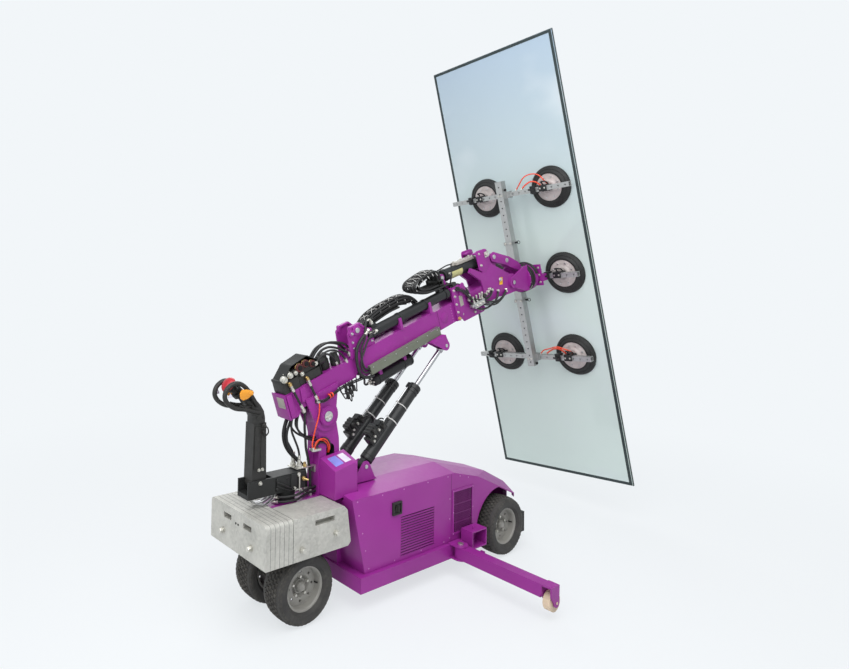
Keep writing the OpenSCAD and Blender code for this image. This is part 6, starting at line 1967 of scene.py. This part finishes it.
    @staticmethod
    def _head_plates() -> None:
        """Upper cheeks of the jib's head with their block, patch and pins."""
        work = Workpiece("head_cheeks", STANCE.boom(), Finish.PURPLE)
        for s in (-1, 1):
            near, far = sorted((s * 62, s * 71.6))
            work.plate([[(1700, 380), (1694, 500), *arc((1716, 508), 20, 170, 96, 4), (1800, 520),
                         *arc((1806, 494), 24, 80, 10, 4), (1838, 440), (1850, 392), (1760, 340)]], near, far,
                         bevel=2.5)
            work.block((1700, min(s * 30, s * 63), 500), (1760, max(s * 30, s * 63), 512), 2)
            work.turned((2066, s * 70.2, 161), (2066, s * 71, 161), [(0, 52), (2, 52), (2.6, 50), (2.6, 0)],
                        48)
        work.of(Finish.YELLOW_LABEL)
        work.prism([(1900, 196), (1940, 186), (1956, 240), (1916, 252)], -71, -69.8)
        work.of(Finish.PLATED)
        work.block((1786, -78, 452), (1836, -71.4, 496), 2)
        work.rod((1800, -78, 474), (1800, -92, 474), 22, 20, 1)
        work.rod((1822, -78, 468), (1822, -88, 468), 16, 20, 1)
        work.bolt((1726, -71.8, 500), (0, -1, 0), 13)
        work.bolt((1726, -71.8, 410), (0, -1, 0), 15)
        work.bolt((1915, -75, 235), (0, -1, 0), 20)
        work.finish("inner_boom", "hull_paint")

    @staticmethod
    def _link_caps() -> None:
        """Rounded outer plates over the link's two eyes, with their pins."""
        work = Workpiece("link_caps", STANCE.boom(), Finish.PURPLE)
        rear, front = (1921.0, 418.0), (2072.0, 344.0)
        for s in (-1, 1):
            near, far = sorted((s * 48.3, s * 55))
            work.of(Finish.PURPLE)
            work.plate([[*arc(rear, 40, 75, 255, 10), *arc(front, 36, 255, 435, 10)]], near, far, bevel=2.5)
            work.of(Finish.STEEL)
            for u, v in (rear, front):
                work.rod((u, s * 54.8, v), (u, s * 60, v), 36, 28, 1.5)
        work.finish("tilt_link", "hull_paint")

    @staticmethod
    def _ring_details() -> None:
        """Bolts, guards and wire of the slewing drive, and the bosses of the bracket's pin."""
        work = Workpiece("slew_ring_bolts", STANCE.slew(), Finish.PLASTIC)
        for near, far, r in ((-329, -322, 117.6), (-300, -292, 118.2), (-286, -279, 117.6)):
            work.ring((near, 0, 0), (far, 0, 0), r, 114.6, 72)
        work.of(Finish.PLATED)
        for k in range(12):
            a = math.radians(30 * k + 15)
            work.hexagon((-330, 105 * math.cos(a), 105 * math.sin(a)),
                         (-338, 105 * math.cos(a), 105 * math.sin(a)), 13)
        work.of(Finish.WRAP)
        band = [(-311, 117 * math.cos(math.radians(a)), 117 * math.sin(math.radians(a))) for a in range(-150,
                                                                                                        60,
                                                                                                        10)]
        work.hose(band, 5, steps=2, sides=8)
        work.of(Finish.PURPLE)
        for s in (-1, 1):
            work.ring((-535, s * 84.6, 14), (-535, s * 88, 14), 46, 28, 40)
        work.finish("head", "dark_steel")


@dataclass
class VacuumFrame:
    """Hub, main beam, cross arms, suction cups and the pane."""

    cups: dict[str, tuple[Flat, Flat]] = field(default_factory=lambda: {
        "upper": ((400, 696), (-231, 696)), "middle": ((504, -28), (-218, -28)),
        "lower": ((491, -729), (-182, -729)),
    })
    bodies: dict[str, str] = field(default_factory=lambda: {
        "upper": "upper_frame", "middle": "vacuum_frame", "lower": "lower_frame",
    })
    arm_x: float = -108.0

    def build(self) -> None:
        """Dresses the frame's nodes and adds its small parts."""
        place = STANCE.vacuum()
        dress("frame_hub", Finish.PURPLE, Finish.ALUMINIUM, place=place, choose=self._hub_finish)
        dress("upper_beam", Finish.ALUMINIUM)
        dress("lower_beam", Finish.ALUMINIUM)
        for row, centres in self.cups.items():
            dress(f"{row}_cups", Finish.RUBBER, Finish.PLATE, Finish.BLACK, place=place,
                  choose=lambda p, c=centres: self._cup_finish(c, p))
            self._cup_fittings(row, centres)
        self._air_hoses()
        self._beam_fittings()
        self._outer_tube_fittings()
        self._hub_details()
        dress("pane_glass", Finish.GLASS)
        dress("pane_edge", Finish.EDGE)
        self._pane_border()

    @staticmethod
    def _pane_border() -> None:
        """Dark seal of the glazing unit, seen as a line round the rear sheet."""
        work = Workpiece("pane_border", STANCE.vacuum(), Finish.EDGE)
        low_y, high_y, low_z, high_z, wide = -465.0, 751.0, -1813.0, 1925.0, 24.0
        work.block((-0.5, low_y, low_z), (0.3, low_y + wide, high_z))
        work.block((-0.5, high_y - wide, low_z), (0.3, high_y, high_z))
        work.block((-0.5, low_y + wide - 1, low_z), (0.3, high_y - wide + 1, low_z + wide))
        work.block((-0.5, low_y + wide - 1, high_z - wide), (0.3, high_y - wide + 1, high_z))
        work.finish("vacuum_frame", "pane_spacer")

    @staticmethod
    def _hub_finish(p: Vector) -> int:
        """The beam's outer tube and the middle arms are aluminium.

        Args:
            p: the face's middle.

        Returns:
            The finish's number.
        """
        arm = abs(p.x + 108) < 20.2 and abs(p.z + 28) < 20.2
        tube = abs(p.y - 136) < 35.1 and -199.1 < p.x < -128.9 and -223 < p.z < 299
        return int(arm or tube)

    @staticmethod
    def _cup_finish(centres: Sequence[Flat], p: Vector) -> int:
        """Rim of rubber, pale plate and black clamp.

        Args:
            centres: the two cups' middles.
            p: the face's middle.
        """
        r = min(math.hypot(p.y - y, p.z - z) for y, z in centres)
        if p.x < -50.05:
            return 2
        return 1 if r < 112.9 and p.x < -26.8 else 0

    def _cup_fittings(self, row: str, centres: Sequence[Flat]) -> None:
        """Lip rings, plate bolts, bail and slide clamp of the cups in one row.

        Args:
            row: upper, middle or lower.
            centres: the two cups' middles.
        """
        work = Workpiece(f"{row}_cup_fittings", STANCE.vacuum(), Finish.RUBBER)
        x = self.arm_x
        for y, z in centres:
            work.of(Finish.RUBBER)
            for radius, depth, d in ((150, -29, 6), (126, -39, 5), (168, -17, 4)):
                work.torus((depth, y, z), (1, 0, 0), radius, d, 64)
            work.of(Finish.STEEL)
            for k in range(8):
                a = math.radians(45 * k + 22.5)
                work.bolt((-39.5, y + 88 * math.cos(a), z + 88 * math.sin(a)), (-1, 0, 0), 11)
            work.of(Finish.BLACK)
            work.block((x - 34, y + 66, z - 27), (x - 20.3, y + 112, z + 36), 3)
            work.block((x - 20.3, y + 66, z + 20.3), (x + 26, y + 112, z + 34), 3)
            work.block((x - 20.3, y + 66, z - 32), (x + 26, y + 112, z - 20.3), 3)
            work.rod((x - 34, y + 89, z + 6), (x - 56, y + 89, z + 6), 13, 16, 1)
            work.hose([(x - 56, y + 66, z + 2), (x - 57, y + 89, z + 6), (x - 56, y + 112, z + 10)], 15,
                      flat=0.8)
            for w in (-26, 26):
                work.hose([(-56, y + w, z - 14), (-74, y + w, z + 18), (-92, y + w * 0.9, z + 44),
                           (-116, y + w * 0.75, z + 54)],
                          11, sides=10)
            work.hose([(-116, y - 20, z + 54), (-122, y, z + 57), (-116, y + 20, z + 54)], 13, sides=10)
            work.of(Finish.PLATED)
            for w in (-20, 20):
                work.hexagon((x - 20.2, y + w, z + 4), (x - 32, y + w, z + 4), 15)
        work.finish(self.bodies[row], "cup_rubber")

    def _air_hoses(self) -> None:
        """Red hoses that arch from the arms to the right-hand cups."""
        for row, lift in (("upper", 72), ("lower", 30)):
            y, z = self.cups[row][1]
            work = Workpiece(f"{row}_air_hose", STANCE.vacuum(), Finish.RED_HOSE)
            work.hose([(-52, y + 42, z), (-62, y + 42, z + 1), (-76, y + 50, z + 30), (-92, y + 80, z + 64),
                       (-104, y + 120, z + 72), (-108, y + 165, z + 54), (-108, y + 205, z + 27)], 12.4,
                       sides=14)
            work.hose([(-56, y - 14, z + 14), (-84, y - 6, z + 48), (-104, y + 30, z + 40 + lift),
                       (-118, y + 90, z + 62 + lift), (-124, y + 160, z + 46 + lift), (-124, y + 218, z + 60),
                       (-120, y + 252, z + 27)], 10)
            work.of(Finish.PLATED)
            work.hexagon((-50.4, y + 42, z), (-60, y + 42, z), 18)
            work.hexagon((-50.4, y - 14, z + 14), (-58, y - 14, z + 14), 16)
            work.hexagon((-108, y + 205, z + 20.4), (-108, y + 205, z + 34), 18)
            work.hexagon((-120, y + 252, z + 20.4), (-120, y + 252, z + 34), 16)
            work.finish(self.bodies[row], "hose_red", [f"{row}_hoses"])

    @staticmethod
    def _beam_fittings() -> None:
        """End plates of the sliding beams and the bolts that hold their arms."""
        for row, sign, end, arm in (("upper", 1, 816, 696), ("lower", -1, -789, -729)):
            work = Workpiece(f"{row}_beam_fittings", STANCE.vacuum(), Finish.ALUMINIUM)
            near, far = sorted((end - sign * 1, end + sign * 4))
            work.block((-196, 104, near), (-132, 168, far), 1)
            work.of(Finish.PLATED)
            for y in (122, 150):
                work.bolt((-194.2, y, arm), (-1, 0, 0), 13)
            work.of(Finish.BLACK)
            work.rod((-160, 106.4, arm + sign * 46), (-160, 92, arm + sign * 46), 20, 16, 1)
            work.finish(f"{row}_frame", "beam_aluminium")

    @staticmethod
    def _outer_tube_fittings() -> None:
        """Collars, bolts and lock rings at the ends of the outer beam tube."""
        work = Workpiece("outer_tube_fittings", STANCE.vacuum(), Finish.ALUMINIUM)
        for z in (-214, 286):
            work.of(Finish.ALUMINIUM)
            work.block((-206, 94, z - 16), (-199, 178, z + 12), 1)
            work.block((-206, 94, z - 16), (-128, 101, z + 12), 1)
            work.block((-206, 171, z - 16), (-128, 178, z + 12), 1)
            work.of(Finish.PLATED)
            for y in (112, 160):
                work.bolt((-206.2, y, z - 2), (-1, 0, 0), 14)
            work.of(Finish.BLACK)
            work.rod((-163, 94.2, z - 2), (-163, 70, z - 2), 16, 16, 1)
            work.torus((-163, 60, z - 2), (1, 0, 0), 13, 5, 24)
        work.finish("vacuum_frame", "beam_aluminium")

    @staticmethod
    def _hub_details() -> None:
        """Ribs, bolts and the curled lines of the hub behind the beam."""
        work = Workpiece("hub_ribs", STANCE.vacuum(), Finish.PURPLE)
        for k in range(10):
            c, s = math.cos(math.radians(36 * k)), math.sin(math.radians(36 * k))
            side = Vector((0, -s, c)) * 4
            corners = [Vector((-232.2, 58 * c, 58 * s)), Vector((-232.2, 110 * c, 110 * s)),
                       Vector((-211.6, 58 * c, 58 * s))]
            work.skin([[spot - side for spot in corners], [spot + side for spot in corners]])
        work.of(Finish.PLATED)
        for y, z in ((-110, -60), (-110, 0), (-110, 60), (-60, 74), (60, 74), (-60, -74), (60, -74)):
            work.bolt((-211.2, y, z), (-1, 0, 0), 15)
        work.of(Finish.HOSE)
        for r, x in ((119.5, -262), (120.5, -250), (119.5, -240)):
            sweep = [(x, r * math.cos(math.radians(a)), r * math.sin(math.radians(a))) for a in range(10, 171,
                                                                                                      16)]
            work.hose(sweep, 9, steps=3, sides=9)
        work.finish("vacuum_frame", "hub_paint")


# Set


@dataclass(frozen=True)
class Studio:
    """Camera at the photograph's view, soft light, a pale floor and a pale backdrop."""

    eye: Point = (-2214.0, -3056.0, 1973.0)
    azimuth: float = 37.59
    pitch: float = -2.22
    turn: float = 0.99
    lens: float = 26.65
    shift: Flat = (0.1378, -0.1004)
    backdrop: Colour = (0.888, 0.922, 0.947)

    def build(self) -> None:
        """Makes the camera, the world, the lamps and the floor."""
        self._camera()
        self._world()
        self._lamps()
        self._floor()

    def _camera(self) -> None:
        """Camera solved from the photograph."""
        az, pitch, turn = (math.radians(a) for a in (self.azimuth, self.pitch, self.turn))
        ahead = Vector((math.sin(az) * math.cos(pitch), math.cos(az) * math.cos(pitch), -math.sin(pitch)))
        right = ahead.cross(Vector((0, 0, 1))).normalized()
        up = right.cross(ahead)
        turned_right = math.cos(turn) * right + math.sin(turn) * up
        turned_up = -math.sin(turn) * right + math.cos(turn) * up
        data = bpy.data.cameras.new("photo_camera")
        data.sensor_width = 36
        data.lens = self.lens
        data.shift_x, data.shift_y = self.shift
        data.clip_end = 60
        camera = bpy.data.objects.new("photo_camera", data)
        bpy.context.scene.collection.objects.link(camera)
        basis = Matrix((turned_right, turned_up, -ahead)).transposed().to_4x4()
        spot = STANCE.machine() @ Vector(self.eye)
        camera.matrix_world = Matrix.Translation(spot) @ basis
        bpy.context.scene.camera = camera

    def _world(self) -> None:
        """Soft dome light, seen as the pale backdrop by the eye and in reflections."""
        world = bpy.data.worlds.new("soft_dome")
        bpy.context.scene.world = world
        world.use_nodes = True
        tree = world.node_tree
        tree.nodes.clear()
        output = tree.nodes.new("ShaderNodeOutputWorld")
        dome, seen = tree.nodes.new("ShaderNodeBackground"), tree.nodes.new("ShaderNodeBackground")
        dome.inputs["Strength"].default_value = 0.62
        seen.inputs["Color"].default_value = (*self.backdrop, 1)
        place = tree.nodes.new("ShaderNodeTexCoord")
        axes = tree.nodes.new("ShaderNodeSeparateXYZ")
        ramp = tree.nodes.new("ShaderNodeValToRGB")
        ramp.color_ramp.elements[0].position = 0.3
        ramp.color_ramp.elements[0].color = (0.42, 0.42, 0.42, 1)
        ramp.color_ramp.elements[1].position = 0.85
        ramp.color_ramp.elements[1].color = (1.0, 1.0, 1.0, 1)
        half = tree.nodes.new("ShaderNodeMapRange")
        half.inputs["From Min"].default_value = -1
        path = tree.nodes.new("ShaderNodeLightPath")
        ray, seen_ray = tree.nodes.new("ShaderNodeMath"), tree.nodes.new("ShaderNodeMath")
        ray.operation = seen_ray.operation = "MAXIMUM"
        mix = tree.nodes.new("ShaderNodeMixShader")
        tree.links.new(place.outputs["Generated"], axes.inputs["Vector"])
        tree.links.new(axes.outputs["Z"], half.inputs["Value"])
        tree.links.new(half.outputs["Result"], ramp.inputs["Fac"])
        tree.links.new(ramp.outputs["Color"], dome.inputs["Color"])
        tree.links.new(path.outputs["Is Camera Ray"], ray.inputs[0])
        tree.links.new(path.outputs["Is Transmission Ray"], ray.inputs[1])
        tree.links.new(ray.outputs["Value"], seen_ray.inputs[0])
        tree.links.new(path.outputs["Is Glossy Ray"], seen_ray.inputs[1])
        tree.links.new(seen_ray.outputs["Value"], mix.inputs["Fac"])
        tree.links.new(dome.outputs["Background"], mix.inputs[1])
        tree.links.new(seen.outputs["Background"], mix.inputs[2])
        tree.links.new(mix.outputs["Shader"], output.inputs["Surface"])

    @staticmethod
    def _lamps() -> None:
        """Large soft lamps over the machine and beside the camera."""
        for name, spot, size, power in (
            ("over_lamp", (-1.6, -2.2, 5.2), 4.5, 190),
            ("side_lamp", (-4.4, -1.2, 3.0), 3.0, 70),
            ("back_lamp", (2.8, 4.6, 4.2), 4.0, 90),
        ):
            data = bpy.data.lights.new(name, "AREA")
            data.size = size
            data.energy = power
            lamp = bpy.data.objects.new(name, data)
            bpy.context.scene.collection.objects.link(lamp)
            lamp.location = spot
            lamp.rotation_euler = (Vector((0, 0, 0.9)) - Vector(spot)).to_track_quat("-Z", "Y").to_euler()

    def _floor(self) -> None:
        """Pale floor that keeps the machine's soft shadow and fades into the backdrop."""
        recipe = Recipe("pale_floor")
        recipe.set(Roughness=0.9, Specular_IOR_Level=0.1)
        recipe.shader.inputs["Base Color"].default_value = (0.8, 0.82, 0.84, 1)
        glow = recipe.node("ShaderNodeEmission")
        glow.inputs["Color"].default_value = (*self.backdrop, 1)
        path = recipe.node("ShaderNodeLightPath")
        first, second = recipe.node("ShaderNodeMath"), recipe.node("ShaderNodeMath")
        first.operation = second.operation = "MAXIMUM"
        place = recipe.node("ShaderNodeTexCoord")
        reach = recipe.node("ShaderNodeVectorMath")
        reach.operation = "LENGTH"
        fade = recipe.node("ShaderNodeMapRange")
        fade.interpolation_type = "SMOOTHSTEP"
        for name, value in (("From Min", 0.8), ("From Max", 5.5), ("To Min", 0.74), ("To Max", 1.0)):
            fade.inputs[name].default_value = value
        share = recipe.node("ShaderNodeMath")
        share.operation = "MULTIPLY"
        both = recipe.node("ShaderNodeMixShader")
        output = recipe.tree.nodes["Material Output"]
        recipe.link(path.outputs["Is Camera Ray"], first.inputs[0])
        recipe.link(path.outputs["Is Transmission Ray"], first.inputs[1])
        recipe.link(first.outputs["Value"], second.inputs[0])
        recipe.link(path.outputs["Is Glossy Ray"], second.inputs[1])
        recipe.link(place.outputs["Object"], reach.inputs[0])
        recipe.link(reach.outputs["Value"], fade.inputs["Value"])
        recipe.link(second.outputs["Value"], share.inputs[0])
        recipe.link(fade.outputs["Result"], share.inputs[1])
        recipe.link(share.outputs["Value"], both.inputs["Fac"])
        recipe.link(recipe.shader.outputs["BSDF"], both.inputs[1])
        recipe.link(glow.outputs["Emission"], both.inputs[2])
        recipe.link(both.outputs["Shader"], output.inputs["Surface"])
        bpy.ops.mesh.primitive_plane_add(size=60, location=(0, 0, -0.0005))
        floor = bpy.context.object
        floor.name = "floor"
        floor.data.materials.append(recipe.material)


def main() -> None:
    """Builds the set and every sub-assembly."""
    logging.basicConfig(level=logging.INFO, format="%(message)s", stream=sys.stdout)
    view = bpy.context.scene.view_settings
    view.view_transform = "Standard"
    for part in (Studio(), Chassis(), Wheels(), Steering(), Boom(), Rams(), Jib(), VacuumFrame()):
        part.build()


if __name__ == "__main__":
    main()
